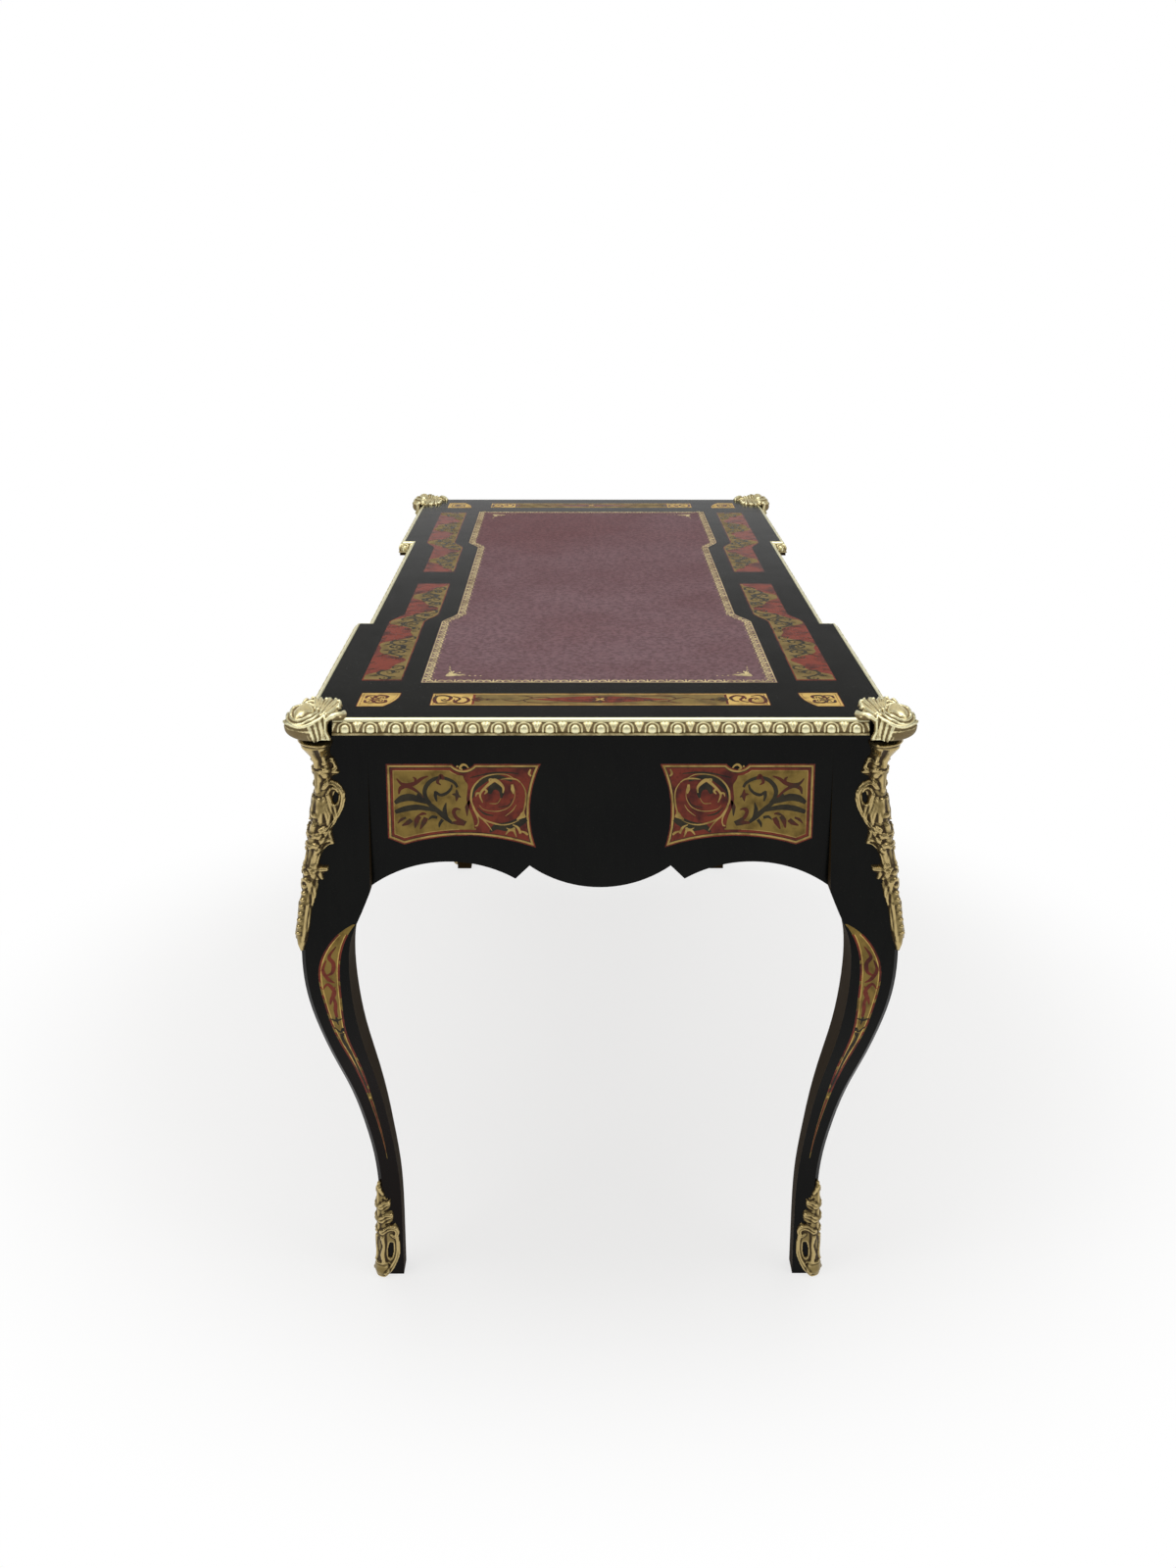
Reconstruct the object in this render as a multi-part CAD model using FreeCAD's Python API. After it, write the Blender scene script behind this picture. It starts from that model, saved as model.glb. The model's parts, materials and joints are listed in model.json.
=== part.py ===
import FreeCAD, Part
import math
import os

from FreeCAD import Vector

# A period writing desk: a shaped top with a leather writing surface and a cast brass
# edge, on a frieze with three drawers and four cabriole legs with cast brass mounts.
# Millimetres. X runs along the desk, Y from the drawers (-Y) to the back, Z up from the
# floor. The origin is on the floor under the middle of the desk.

# Overall sizes
HEIGHT = 785.0  # floor to writing surface
TOP_LENGTH = 1500.0  # over the edge moulding
TOP_WIDTH = 695.0
CENTRE_LENGTH = 578.0  # the recessed middle of each long side
CENTRE_RECESS = 19.0
FIT_GAP = 0.3  # between a moving piece and its seat
OVERRUN = 5.0  # how far a cutting solid runs past what it cuts

# Top
BOARD_THICKNESS = 24.0
LIP_HEIGHT = 5.0  # the black lip under the moulding
LIP_INSET = 2.0
MOULDING_DEPTH = 11.0
MOULDING_FOOT = 2.5  # plain band at the foot of the moulding
BEAD_WIDTH = 3.5
BEAD_HEIGHT = 2.5
OVOLO_BELLY_SHARE = 0.72  # where the moulding's curve bulges, as a share of its run
LEATHER_END_GAP = 47.0  # end panels to the leather
LEATHER_SIDE_GAP = 24.5  # side panels to the leather
LEATHER_RECESS = 19.0
LEATHER_THICKNESS = 1.5
LEATHER_BEND = 46.0  # length of the curve between its wide and narrow parts
INLAY_THICKNESS = 1.2

# Marquetry on the top
SIDE_INLAY_WIDTH = 50.0
SIDE_INLAY_MARGIN = 51.5  # top's edge to the side panels
SIDE_INLAY_RECESS = 17.0
SIDE_INLAY_BREAK = 88.0  # plain gap between the two panels of a side
SIDE_INLAY_END_MARGIN = 162.0  # top's end to the side panels
END_INLAY_SIDE_MARGIN = 145.5  # top's long edge to the end panels
END_INLAY_WIDTH = 48.0
END_INLAY_MARGIN = 57.0  # top's end to the end panels
MEDALLION_LENGTH = 55.0  # along the desk
MEDALLION_WIDTH = 48.0
MEDALLION_END_MARGIN = 53.0  # top's end to the medallions
MEDALLION_SIDE_MARGIN = 59.0

# Frieze
OVERHANG = 22.0  # moulding to the frieze's face
FRIEZE_DEPTH = 190.0  # height of the frieze at the legs
RAIL_WEB = 21.0  # wood between a side rail's arch and its drawer
KNEEHOLE_WEB = 24.0  # and over the kneehole
POST_WIDTH = 53.0
APRON_THICKNESS = 22.0
PARTITION_THICKNESS = 18.0
TOP_RAIL_HEIGHT = 12.0
TOP_RAIL_DEPTH = 60.0
TENON_LENGTH = 24.0
TENON_THICKNESS = 8.0
TENON_SHOULDER = 50.0  # tenon's top to the frieze's top
TENON_HEIGHT = 70.0
TENON_GAP = 0.1

# Serpentine lower edge: shares of the half span, and rises above its ends
ARCH_SHARE = 0.669
CUSP_SHARE = 0.371
NOTCH_SHARE = 0.309
ARCH_RISE = 30.0
CUSP_RISE_SHARE = 0.27
NOTCH_RISE_SHARE = 0.83
DROP_SHARE = 0.10  # the middle hangs below the ends by this share of the rise
KNEEHOLE_RISE = 46.0
KNEEHOLE_LIFT = 35.0  # kneehole edge above the frieze's lower corners

# Marquetry on the frieze
PANEL_TOP_MARGIN = 37.0
PANEL_WEB = 18.0  # wood between the apron's arch and its panels
PANEL_ARCH = 15.0
PANEL_BOW = 13.0  # how far a bowed end is drawn in
PANEL_CHAMFER = 19.0
PANEL_CHAMFER_RISE = 8.0
PANEL_SIDE_MARGIN = 21.0  # leg post to the panel
END_PANEL_INNER = 70.0  # middle of the end to each panel
DRAWER_PANEL_MARGIN = 22.0
DRAWER_PANEL_EDGE = 15.0  # above and below a drawer's panel
DRAWER_PANEL_ARCH = 7.0

# Legs
KNEE_SWELL = 30.0  # how far the knee stands out past the frieze
ANKLE_TUCK = 41.0  # how far the ankle draws in under the frieze
KNEE_THICKNESS = 56.0
FOOT_THICKNESS = 29.0
ARRIS_WIDTH = 7.0  # the flat on the outer corner
LEG_INLAY_TOP_SHARE = 0.933
LEG_INLAY_FOOT_SHARE = 0.306

# A level's share is 0 at the floor, 1 at the frieze's lower corner and 2 at its top.
# The outer curve: level, then swing as a share of the swell (+) or of the tuck (-)
LEG_OUTER_SHARES = (
    (0.000, -1.00),
    (0.147, -1.00),
    (0.245, -0.98),
    (0.316, -0.89),
    (0.392, -0.71),
    (0.450, -0.54),
    (0.520, -0.28),
    (0.596, 0.08),
    (0.650, 0.38),
    (0.712, 0.68),
    (0.770, 0.89),
    (0.832, 1.00),
    (0.885, 1.00),
    (0.946, 0.90),
    (1.023, 0.71),
    (1.207, 0.48),
    (1.467, 0.20),
    (1.720, 0.04),
    (2.000, 0.00),
)
# The inner curve below the knee: level, then share of the way from knee to foot
LEG_INNER_SHARES = (
    (0.000, 1.000),
    (0.133, 1.000),
    (0.263, 0.950),
    (0.360, 0.820),
    (0.440, 0.690),
    (0.545, 0.466),
    (0.650, 0.205),
    (0.760, 0.034),
    (0.849, 0.000),
)
# Above the knee the inner curve runs out to the post: share of the way up, share out
LEG_SPANDREL_SHARES = ((0.36, 0.15), (0.70, 0.60), (1.00, 1.00))
# The marquetry on a leg: height share of the panel, left and right as shares of the face
LEG_INLAY_OUTLINE_SHARES = (
    (1.00, 0.93, 0.97),
    (0.93, 0.56, 0.86),
    (0.85, 0.36, 0.80),
    (0.72, 0.34, 0.76),
    (0.58, 0.36, 0.66),
    (0.44, 0.48, 0.70),
    (0.30, 0.52, 0.66),
    (0.14, 0.56, 0.64),
    (0.00, 0.59, 0.61),
)

# Cast brass mounts
CORNER_MOUNT_REACH = 86.0  # along the long side
CORNER_MOUNT_RETURN = 52.0  # along the end
CORNER_MOUNT_BULGE = 13.0
CORNER_MOUNT_CROWN = 5.0  # above the writing surface
CORNER_MOUNT_LEAF = 46.0  # its leaf's width on the top
CORNER_ROUND_SHARE = 0.32  # its round corner as a share of the return
# Height share from the lip's underside to the crown, bulge share, shrink share of the leaf
CORNER_MOUNT_SHARES = (
    (0.00, -0.25, 0.00),
    (0.20, 0.45, 0.00),
    (0.45, 1.00, 0.00),
    (0.70, 0.85, 0.02),
    (0.88, 0.35, 0.06),
    (1.00, -0.55, 0.22),
)
KNEE_MOUNT_TOP_GAP = 4.0  # below the frieze's top
KNEE_MOUNT_LENGTH = 252.0
KNEE_MOUNT_REACH = 26.0  # how far it wraps on each face
KNEE_MOUNT_STAND = 14.0  # how far it stands off the corner
MOUNT_EDGE = 1.5  # thickness at its thin edges
# Height share from its foot, reach share, stand share
KNEE_MOUNT_SHARES = (
    (0.000, 0.25, 0.20),
    (0.120, 0.42, 0.45),
    (0.280, 0.46, 0.55),
    (0.370, 0.60, 0.80),
    (0.460, 0.80, 0.95),
    (0.560, 0.88, 0.85),
    (0.680, 1.00, 0.70),
    (0.770, 0.90, 0.60),
    (0.860, 0.70, 0.60),
    (0.940, 0.62, 0.85),
    (1.000, 0.55, 1.00),
)
FOOT_MOUNT_HEIGHT = 146.0
FOOT_MOUNT_REACH = 23.0
FOOT_MOUNT_STAND = 9.0
FOOT_MOUNT_SHARES = (
    (0.000, 0.55, 0.60),
    (0.060, 0.72, 1.00),
    (0.150, 0.90, 0.80),
    (0.260, 1.00, 0.42),
    (0.450, 0.95, 0.40),
    (0.700, 0.62, 0.42),
    (0.900, 0.34, 0.40),
    (1.000, 0.18, 0.20),
)

# Drawers
DRAWER_GAP = 1.0  # round a drawer front
DRAWER_FRONT_THICKNESS = 20.0
DRAWER_SIDE_THICKNESS = 12.0
DRAWER_BOTTOM_THICKNESS = 6.0
DRAWER_BOTTOM_RAISE = 8.0
DRAWER_DEPTH = 450.0
DRAWER_SIDE_PLAY = 1.5  # between a drawer's side and its guide
DRAWER_TOP_PLAY = 3.0  # below the top rail
RUNNER_HEIGHT = 12.0
RUNNER_WIDTH = 24.0
GUIDE_HEIGHT = 18.0
STOP_LENGTH = 16.0  # blocks behind the drawers
STOP_HEIGHT = 14.0

# Handles, keyholes and locks
PULL_SPACING = 92.0
PULL_RISE_SHARE = 0.56  # pivot height as a share of the drawer's opening
ROSETTE_RADIUS = 14.0
ROSETTE_THICKNESS = 2.5
POST_RADIUS = 4.0
POST_LENGTH = 13.0
PIVOT_STAND = 9.5  # pivot line in front of the drawer
PINTLE_RADIUS = 1.5
PINTLE_PLAY = 0.06
BAIL_RADIUS = 2.4
BAIL_DROP = 30.0
BAIL_ARM_OFFSET = 8.0  # arm outside its post
BAIL_BEND = 13.0
BAIL_GRIP_RADIUS = 3.6
BAIL_GRIP_LENGTH = 24.0
ESCUTCHEON_WIDTH = 30.0
ESCUTCHEON_HEIGHT = 40.0
ESCUTCHEON_THICKNESS = 2.5
SIDE_KEYHOLE_SHARE = 0.74  # height of a keyhole in a side drawer's opening
CENTRE_KEYHOLE_SHARE = 0.52
KEYHOLE_RADIUS = 3.0
KEYHOLE_SLOT = 2.6
KEYHOLE_LENGTH = 9.0
LOCK_WIDTH = 52.0
LOCK_HEIGHT = 36.0
LOCK_THICKNESS = 9.0

# Glue blocks and screws
BLOCK_LEG = 44.0
BLOCK_HEIGHT = 40.0
SCREW_RADIUS = 2.0
SCREW_HEAD_RADIUS = 4.0
SCREW_HEAD_HEIGHT = 2.5
SCREW_BITE = 12.0
SCREW_GAP = 0.1
SCREW_INSET = 14.0  # from each face of the block's corner

# Places that follow from the sizes
FRIEZE_TOP = HEIGHT - BOARD_THICKNESS
FRIEZE_BOTTOM = FRIEZE_TOP - FRIEZE_DEPTH
END_FACE = TOP_LENGTH / 2 - OVERHANG
SIDE_FACE = TOP_WIDTH / 2 - OVERHANG
CENTRE_FACE = SIDE_FACE - CENTRE_RECESS
STEP_X = CENTRE_LENGTH / 2 + OVERHANG
POST_INNER_X = END_FACE - POST_WIDTH
POST_INNER_Y = SIDE_FACE - POST_WIDTH
PARTITION_X = STEP_X + PARTITION_THICKNESS
END_INLAY_X = TOP_LENGTH / 2 - END_INLAY_MARGIN
SIDE_INLAY_Y = TOP_WIDTH / 2 - SIDE_INLAY_MARGIN
LEATHER_X = END_INLAY_X - END_INLAY_WIDTH - LEATHER_END_GAP
LEATHER_Y = SIDE_INLAY_Y - SIDE_INLAY_WIDTH - LEATHER_SIDE_GAP
RAIL_BOTTOM = FRIEZE_TOP - TOP_RAIL_HEIGHT
SIDE_DRAWER_BASE = FRIEZE_BOTTOM + ARCH_RISE + RAIL_WEB
SIDE_DRAWER_HEIGHT = RAIL_BOTTOM - SIDE_DRAWER_BASE
KNEEHOLE_TOP = FRIEZE_BOTTOM + KNEEHOLE_LIFT + KNEEHOLE_RISE
CENTRE_DRAWER_BASE = KNEEHOLE_TOP + KNEEHOLE_WEB
CENTRE_DRAWER_HEIGHT = RAIL_BOTTOM - CENTRE_DRAWER_BASE
SIDE_DRAWER_MIDDLE = (PARTITION_X + POST_INNER_X) / 2
APRON_INNER_X = END_FACE - APRON_THICKNESS


def box(x0, x1, y0, y1, z0, z1):
    """A block between two corners."""
    return Part.makeBox(x1 - x0, y1 - y0, z1 - z0, Vector(x0, y0, z0))


def cylinder(radius, start, end):
    """A round bar from start to end."""
    along = end - start
    return Part.makeCylinder(radius, along.Length, start, along)


def plan(z):
    """Puts outline points (x, y) at height z."""
    return lambda x, y: Vector(x, y, z)


def elevation_end(x):
    """Puts outline points (y, z) on a plane across the desk."""
    return lambda y, z: Vector(x, y, z)


def elevation_front(y):
    """Puts outline points (x, z) on a plane along the desk."""
    return lambda x, z: Vector(x, y, z)


def outline(put, start, steps):
    """A closed wire. A step is an end point for a line, or (middle, end) for an arc."""
    edges = []
    here = start
    for step in steps:
        if isinstance(step[0], tuple):
            middle, end = step
            edges.append(Part.Arc(put(*here), put(*middle), put(*end)).toShape())
        else:
            end = step
            edges.append(Part.LineSegment(put(*here), put(*end)).toShape())
        here = end
    return Part.Wire(edges)


def slab(wire, direction):
    """The solid that a closed flat wire sweeps along a direction."""
    return Part.Face(wire).extrude(direction)


def mirror_x(shape):
    return shape.mirror(Vector(0, 0, 0), Vector(1, 0, 0))


def mirror_y(shape):
    return shape.mirror(Vector(0, 0, 0), Vector(0, 1, 0))


def four_corners(shape):
    """The shape made for the right back corner, at all four corners, by name."""
    return {
        "back_right": shape,
        "back_left": mirror_x(shape),
        "front_right": mirror_y(shape),
        "front_left": mirror_x(mirror_y(shape)),
    }


def together(shapes):
    """Separate solids that are kept in one node."""
    return Part.makeCompound([solid for shape in shapes for solid in shape.Solids])


def export(name, shape):
    shape.exportStep(os.path.join("parts", name + ".step"))
    print(f"{name}: {len(shape.Solids)} solids, valid {shape.isValid()}, {shape.Volume:.0f} mm3")


# The top


def top_corners(inset):
    """The top's stepped outline, drawn in by inset, from the back right corner round."""
    x = TOP_LENGTH / 2 - inset
    y = TOP_WIDTH / 2 - inset
    step = CENTRE_LENGTH / 2 + inset
    middle = y - CENTRE_RECESS
    half = [(x, y), (step, y), (step, middle), (-step, middle), (-step, y), (-x, y)]
    return half + [(-a, -b) for a, b in half]


def top_slab(inset, z0, z1):
    corners = top_corners(inset)
    wire = outline(plan(z0), corners[0], corners[1:] + corners[:1])
    return slab(wire, Vector(0, 0, z1 - z0))


def leather_outline(z):
    """Wide at the ends and narrow in the middle, joined by S curves."""
    x = LEATHER_X
    wide = LEATHER_Y
    narrow = wide - LEATHER_RECESS
    start = CENTRE_LENGTH / 2
    end = start - LEATHER_BEND
    middle = ((start + end) / 2, (wide + narrow) / 2)
    upper = ((3 * start + end) / 4, wide - LEATHER_RECESS / 5)
    lower = ((start + 3 * end) / 4, narrow + LEATHER_RECESS / 5)

    def turned(point, sx, sy):
        return (sx * point[0], sy * point[1])

    steps = []
    for sx, sy in ((1, 1), (-1, 1), (-1, -1), (1, -1)):
        wide_end = turned((start, wide), sx, sy)
        inner_end = turned((end, narrow), sx, sy)
        halfway = turned(middle, sx, sy)
        top_arc = turned(upper, sx, sy)
        low_arc = turned(lower, sx, sy)
        corner = turned((x, wide), sx, sy)
        if sx * sy > 0:
            steps += [corner, wide_end, (top_arc, halfway), (low_arc, inner_end)]
        else:
            steps += [inner_end, (low_arc, halfway), (top_arc, wide_end), corner]
    return outline(plan(z), (x, -wide), steps)


def side_inlay_outline(z):
    """The marquetry beside the leather on the right half of the back side."""
    outer_wide = SIDE_INLAY_Y
    inner_wide = outer_wide - SIDE_INLAY_WIDTH
    outer_slim = outer_wide - SIDE_INLAY_RECESS
    inner_slim = inner_wide - SIDE_INLAY_RECESS
    bend = CENTRE_LENGTH / 2
    slim = bend - LEATHER_BEND
    far = TOP_LENGTH / 2 - SIDE_INLAY_END_MARGIN
    near = SIDE_INLAY_BREAK / 2
    half = (bend + slim) / 2
    ease = SIDE_INLAY_RECESS / 5

    def curve(wide, narrow):
        return [
            (((3 * bend + slim) / 4, wide - ease), (half, (wide + narrow) / 2)),
            (((bend + 3 * slim) / 4, narrow + ease), (slim, narrow)),
        ]

    back = curve(inner_wide, inner_slim)
    down = [
        (slim, inner_slim),
        (back[1][0], back[0][1]),
        (back[0][0], (bend, inner_wide)),
    ]
    return outline(
        plan(z),
        (far, outer_wide),
        [(bend, outer_wide)]
        + curve(outer_wide, outer_slim)
        + [(near, outer_slim), (near, inner_slim)]
        + down
        + [(far, inner_wide), (far, outer_wide)],
    )


def medallion_outline(z):
    """A small shield in the corner between the end panel and the side panel."""
    x1 = TOP_LENGTH / 2 - MEDALLION_END_MARGIN
    x0 = x1 - MEDALLION_LENGTH
    y1 = TOP_WIDTH / 2 - MEDALLION_SIDE_MARGIN
    y0 = y1 - MEDALLION_WIDTH
    bulge = MEDALLION_WIDTH / 6
    return outline(
        plan(z),
        (x1, y1),
        [
            (x0, y1),
            (x0, y0),
            ((x0 + MEDALLION_LENGTH * 3 / 4, y0 + bulge), (x1, y0 + 2 * bulge)),
            (x1, y1),
        ],
    )


def top_inlays():
    z = HEIGHT - INLAY_THICKNESS
    thick = Vector(0, 0, INLAY_THICKNESS)
    side = slab(side_inlay_outline(z), thick)
    medallion = slab(medallion_outline(z), thick)
    half = TOP_WIDTH / 2 - END_INLAY_SIDE_MARGIN
    end = box(END_INLAY_X - END_INLAY_WIDTH, END_INLAY_X, -half, half, z, HEIGHT)
    pieces = [end, mirror_x(end)]
    for piece in (side, medallion):
        pieces += four_corners(piece).values()
    return together(pieces)


def moulding_profile(place):
    """The edge moulding's section; place turns (inward distance, height) to a point."""
    foot = FRIEZE_TOP + LIP_HEIGHT
    inner = MOULDING_DEPTH
    bead = inner - BEAD_WIDTH
    rise = HEIGHT - BEAD_HEIGHT - foot - MOULDING_FOOT
    belly = (
        bead * (1 - OVOLO_BELLY_SHARE),
        foot + MOULDING_FOOT + rise * OVOLO_BELLY_SHARE,
    )
    return outline(
        place,
        (0, foot),
        [
            (0, foot + MOULDING_FOOT),
            (belly, (bead, HEIGHT - BEAD_HEIGHT)),
            (bead, HEIGHT),
            (inner, HEIGHT),
            (inner, foot),
            (0, foot),
        ],
    )


def moulding_run(start, end, start_mitre, end_mitre):
    """One length of moulding with its outer face on the line from start to end.

    The desk lies to the left of that line. A mitre of 1 cuts the end back towards the
    inside, as at an outward corner, -1 runs it on, as at an inward one, and 0 is square.
    """
    along = (end - start).normalize()
    inward = Vector(-along.y, along.x, 0)

    def section(point, mitre):
        return moulding_profile(
            lambda n, z: point + inward * n + along * (n * mitre) + Vector(0, 0, z)
        )

    return Part.makeLoft([section(start, start_mitre), section(end, -end_mitre)], True, True)


def front_mouldings():
    """The five lengths along the front edge, between the corner mounts."""
    y = -TOP_WIDTH / 2
    middle = y + CENTRE_RECESS
    step = CENTRE_LENGTH / 2
    mount = TOP_LENGTH / 2 - CORNER_MOUNT_REACH
    return together(
        [
            moulding_run(Vector(-mount, y, 0), Vector(-step, y, 0), 0, 1),
            moulding_run(Vector(-step, y, 0), Vector(-step, middle, 0), 1, -1),
            moulding_run(Vector(-step, middle, 0), Vector(step, middle, 0), -1, -1),
            moulding_run(Vector(step, middle, 0), Vector(step, y, 0), -1, 1),
            moulding_run(Vector(step, y, 0), Vector(mount, y, 0), 1, 0),
        ]
    )


def end_moulding():
    """The length along the right end."""
    half = TOP_WIDTH / 2 - CORNER_MOUNT_RETURN
    x = TOP_LENGTH / 2
    return moulding_run(Vector(x, -half, 0), Vector(x, half, 0), 0, 0)


def corner_mount_section(height_share, bulge_share, shrink_share):
    """One level of a corner mount: a rounded corner outside, a leaf's edge inside."""
    z = FRIEZE_TOP + height_share * (BOARD_THICKNESS + CORNER_MOUNT_CROWN)
    out = bulge_share * CORNER_MOUNT_BULGE
    shrink = shrink_share * CORNER_MOUNT_LEAF
    x1 = TOP_LENGTH / 2 + out
    y1 = TOP_WIDTH / 2 + out
    x0 = TOP_LENGTH / 2 - CORNER_MOUNT_REACH + shrink
    y0 = TOP_WIDTH / 2 - CORNER_MOUNT_RETURN + shrink
    leaf_x = TOP_LENGTH / 2 - CORNER_MOUNT_LEAF + shrink
    leaf_y = TOP_WIDTH / 2 - CORNER_MOUNT_LEAF * 3 / 4 + shrink
    bend = CORNER_ROUND_SHARE * CORNER_MOUNT_RETURN + CORNER_MOUNT_BULGE
    nose = bend * (1 - math.sqrt(1 / 2))
    return outline(
        plan(z),
        (x0, y1 - CORNER_MOUNT_BULGE - out / 2),
        [
            ((x1 - CORNER_MOUNT_LEAF, y1 - out / 4), (x1 - bend, y1)),
            ((x1 - nose, y1 - nose), (x1, y1 - bend)),
            (x1 - CORNER_MOUNT_BULGE - out / 2, y0),
            (leaf_x, y0),
            (x0, leaf_y),
            (x0, y1 - CORNER_MOUNT_BULGE - out / 2),
        ],
    )


def corner_mount(board):
    sections = [corner_mount_section(*shares) for shares in CORNER_MOUNT_SHARES]
    return Part.makeLoft(sections, True, False).cut(board)


# Legs


def level_height(share):
    """The height of a level on the leg: see the leg's table of shares."""
    if share <= 1:
        return share * FRIEZE_BOTTOM
    return FRIEZE_BOTTOM + (share - 1) * FRIEZE_DEPTH


def swing_at(points, height):
    """The swing at a height of a line of (swing, height) points."""
    low = points[0]
    for high in points[1:]:
        if height <= high[1]:
            part = (height - low[1]) / (high[1] - low[1])
            return low[0] + part * (high[0] - low[0])
        low = high
    return low[0]


def leg_outer_points():
    """The outer line as (swing past the frieze, height)."""
    points = []
    for share, swing in LEG_OUTER_SHARES:
        reach = KNEE_SWELL if swing > 0 else ANKLE_TUCK
        points.append((swing * reach, level_height(share)))
    return points


def leg_inner_points():
    """The inner line from the foot up to the post's lower corner, as (swing, height)."""
    knee = KNEE_SWELL - KNEE_THICKNESS
    foot = -ANKLE_TUCK - FOOT_THICKNESS
    points = [(knee + s * (foot - knee), level_height(h)) for h, s in LEG_INNER_SHARES]
    knee_height = points[-1][1]
    for up, out in LEG_SPANDREL_SHARES:
        swing = knee + out * (-POST_WIDTH - knee)
        points.append((swing, knee_height + up * (FRIEZE_BOTTOM - knee_height)))
    return points


def spline(points, start_tangent, end_tangent):
    curve = Part.BSplineCurve()
    curve.interpolate(Points=points, InitialTangent=start_tangent, FinalTangent=end_tangent)
    return curve.toShape()


def leg_profile(place, outer_points):
    """The leg's outline on one face; place turns (swing, height) to a point."""
    outer = [place(*p) for p in outer_points]
    inner = [place(*p) for p in leg_inner_points()]
    up = Vector(0, 0, 1)
    slope = inner[-1] - inner[-2]
    top_inner = place(-POST_WIDTH, FRIEZE_TOP)
    return Part.Wire(
        [
            spline(outer, up, up),
            Part.LineSegment(outer[-1], top_inner).toShape(),
            Part.LineSegment(top_inner, inner[-1]).toShape(),
            spline(inner, up, slope.normalize()).reversed(),
            Part.LineSegment(inner[0], outer[0]).toShape(),
        ]
    )


def leg_blank():
    """The right back leg, sawn square from both faces, with its outer corner flattened."""
    width = POST_WIDTH + KNEE_THICKNESS
    points = leg_outer_points()

    def across(swing, height):
        return Vector(END_FACE + swing, SIDE_FACE - width, height)

    def along(swing, height):
        return Vector(END_FACE - width, SIDE_FACE + swing, height)

    sawn = slab(leg_profile(across, points), Vector(0, 2 * width, 0)).common(
        slab(leg_profile(along, points), Vector(2 * width, 0, 0))
    )
    diagonal = Vector(1, 1, 0).normalize()
    side = Vector(-1, 1, 0).normalize()
    corner = Vector(END_FACE, SIDE_FACE, 0)
    flat = ARRIS_WIDTH / 2

    def on_diagonal(swing, height):
        return corner + diagonal * (swing * math.sqrt(2) - flat) - side * width + Vector(0, 0, height)

    outer = [on_diagonal(*p) for p in points]
    up = Vector(0, 0, 1)
    back = diagonal * -(2 * width)
    wire = Part.Wire(
        [
            spline(outer, up, up),
            Part.LineSegment(outer[-1], outer[-1] + back).toShape(),
            Part.LineSegment(outer[-1] + back, outer[0] + back).toShape(),
            Part.LineSegment(outer[0] + back, outer[0]).toShape(),
        ]
    )
    return sawn.common(slab(wire, side * (2 * width)))


def leg_inlay_sides():
    """The leg panel's outline as (swing, height), for its outer and its inner side."""
    top = level_height(LEG_INLAY_TOP_SHARE)
    foot = level_height(LEG_INLAY_FOOT_SHARE)
    left = []
    right = []
    for share, near, far in LEG_INLAY_OUTLINE_SHARES:
        height = foot + share * (top - foot)
        outer = swing_at(leg_outer_points(), height)
        width = outer - swing_at(leg_inner_points(), height)
        left.append((outer - near * width, height))
        right.append((outer - far * width, height))
    return left, right


def leg_inlay(leg, place, outward):
    """A thin panel let into one face of the leg."""
    left, right = leg_inlay_sides()
    left = [place(*p) for p in left]
    right = [place(*p) for p in right]

    def smooth(points):
        curve = Part.BSplineCurve()
        curve.interpolate(points)
        return curve.toShape()

    wire = Part.Wire(
        [
            smooth(left),
            Part.LineSegment(left[-1], right[-1]).toShape(),
            smooth(right).reversed(),
            Part.LineSegment(right[0], left[0]).toShape(),
        ]
    )
    reach = POST_WIDTH + KNEE_THICKNESS
    cutter = slab(wire, outward * (2 * reach))
    sunk = leg.translated(outward * -INLAY_THICKNESS)
    return leg.common(cutter).cut(sunk)


def mortise(shape, tenon):
    """Cuts a tenon's hole, with a little room, out of a leg."""
    bounds = tenon.BoundBox
    return shape.cut(
        box(
            bounds.XMin - TENON_GAP,
            bounds.XMax + TENON_GAP,
            bounds.YMin - TENON_GAP,
            bounds.YMax + TENON_GAP,
            bounds.ZMin - TENON_GAP,
            bounds.ZMax + TENON_GAP,
        )
    )


def mount_section(height, reach, stand):
    """One level of a mount round the leg's outer corner, reaching into the leg."""
    swing = swing_at(leg_outer_points(), height)
    cx = END_FACE + swing
    cy = SIDE_FACE + swing
    shoulder = reach / 3
    nose = stand * 3 / 4
    return outline(
        plan(height),
        (cx - reach, cy - reach),
        [
            (cx - reach, cy + MOUNT_EDGE),
            (cx - shoulder, cy + stand),
            ((cx + nose, cy + nose), (cx + stand, cy - shoulder)),
            (cx + MOUNT_EDGE, cy - reach),
            (cx - reach, cy - reach),
        ],
    )


def corner_casting(leg, foot, length, reach, stand, shares):
    """A cast mount that wraps the leg's outer corner between two heights."""
    sections = [
        mount_section(foot + h * length, r * reach, s * stand) for h, r, s in shares
    ]
    return Part.makeLoft(sections, True, False).cut(leg)


# Frieze


def serpentine(put, x0, x1, base, rise, top):
    """A board whose lower edge has two arches, two cusps and a drop in the middle."""
    middle = (x0 + x1) / 2
    half = (x1 - x0) / 2
    arch = ARCH_SHARE * half
    cusp = CUSP_SHARE * half
    notch = NOTCH_SHARE * half
    crown = base + rise
    cusp_z = base + rise * CUSP_RISE_SHARE
    notch_z = base + rise * NOTCH_RISE_SHARE
    drop = base - rise * DROP_SHARE
    return outline(
        put,
        (x0, top),
        [
            (x0, base),
            ((middle - arch, crown), (middle - cusp, cusp_z)),
            (middle - notch, notch_z),
            ((middle, drop), (middle + notch, notch_z)),
            (middle + cusp, cusp_z),
            ((middle + arch, crown), (x1, base)),
            (x1, top),
            (x0, top),
        ],
    )


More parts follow.
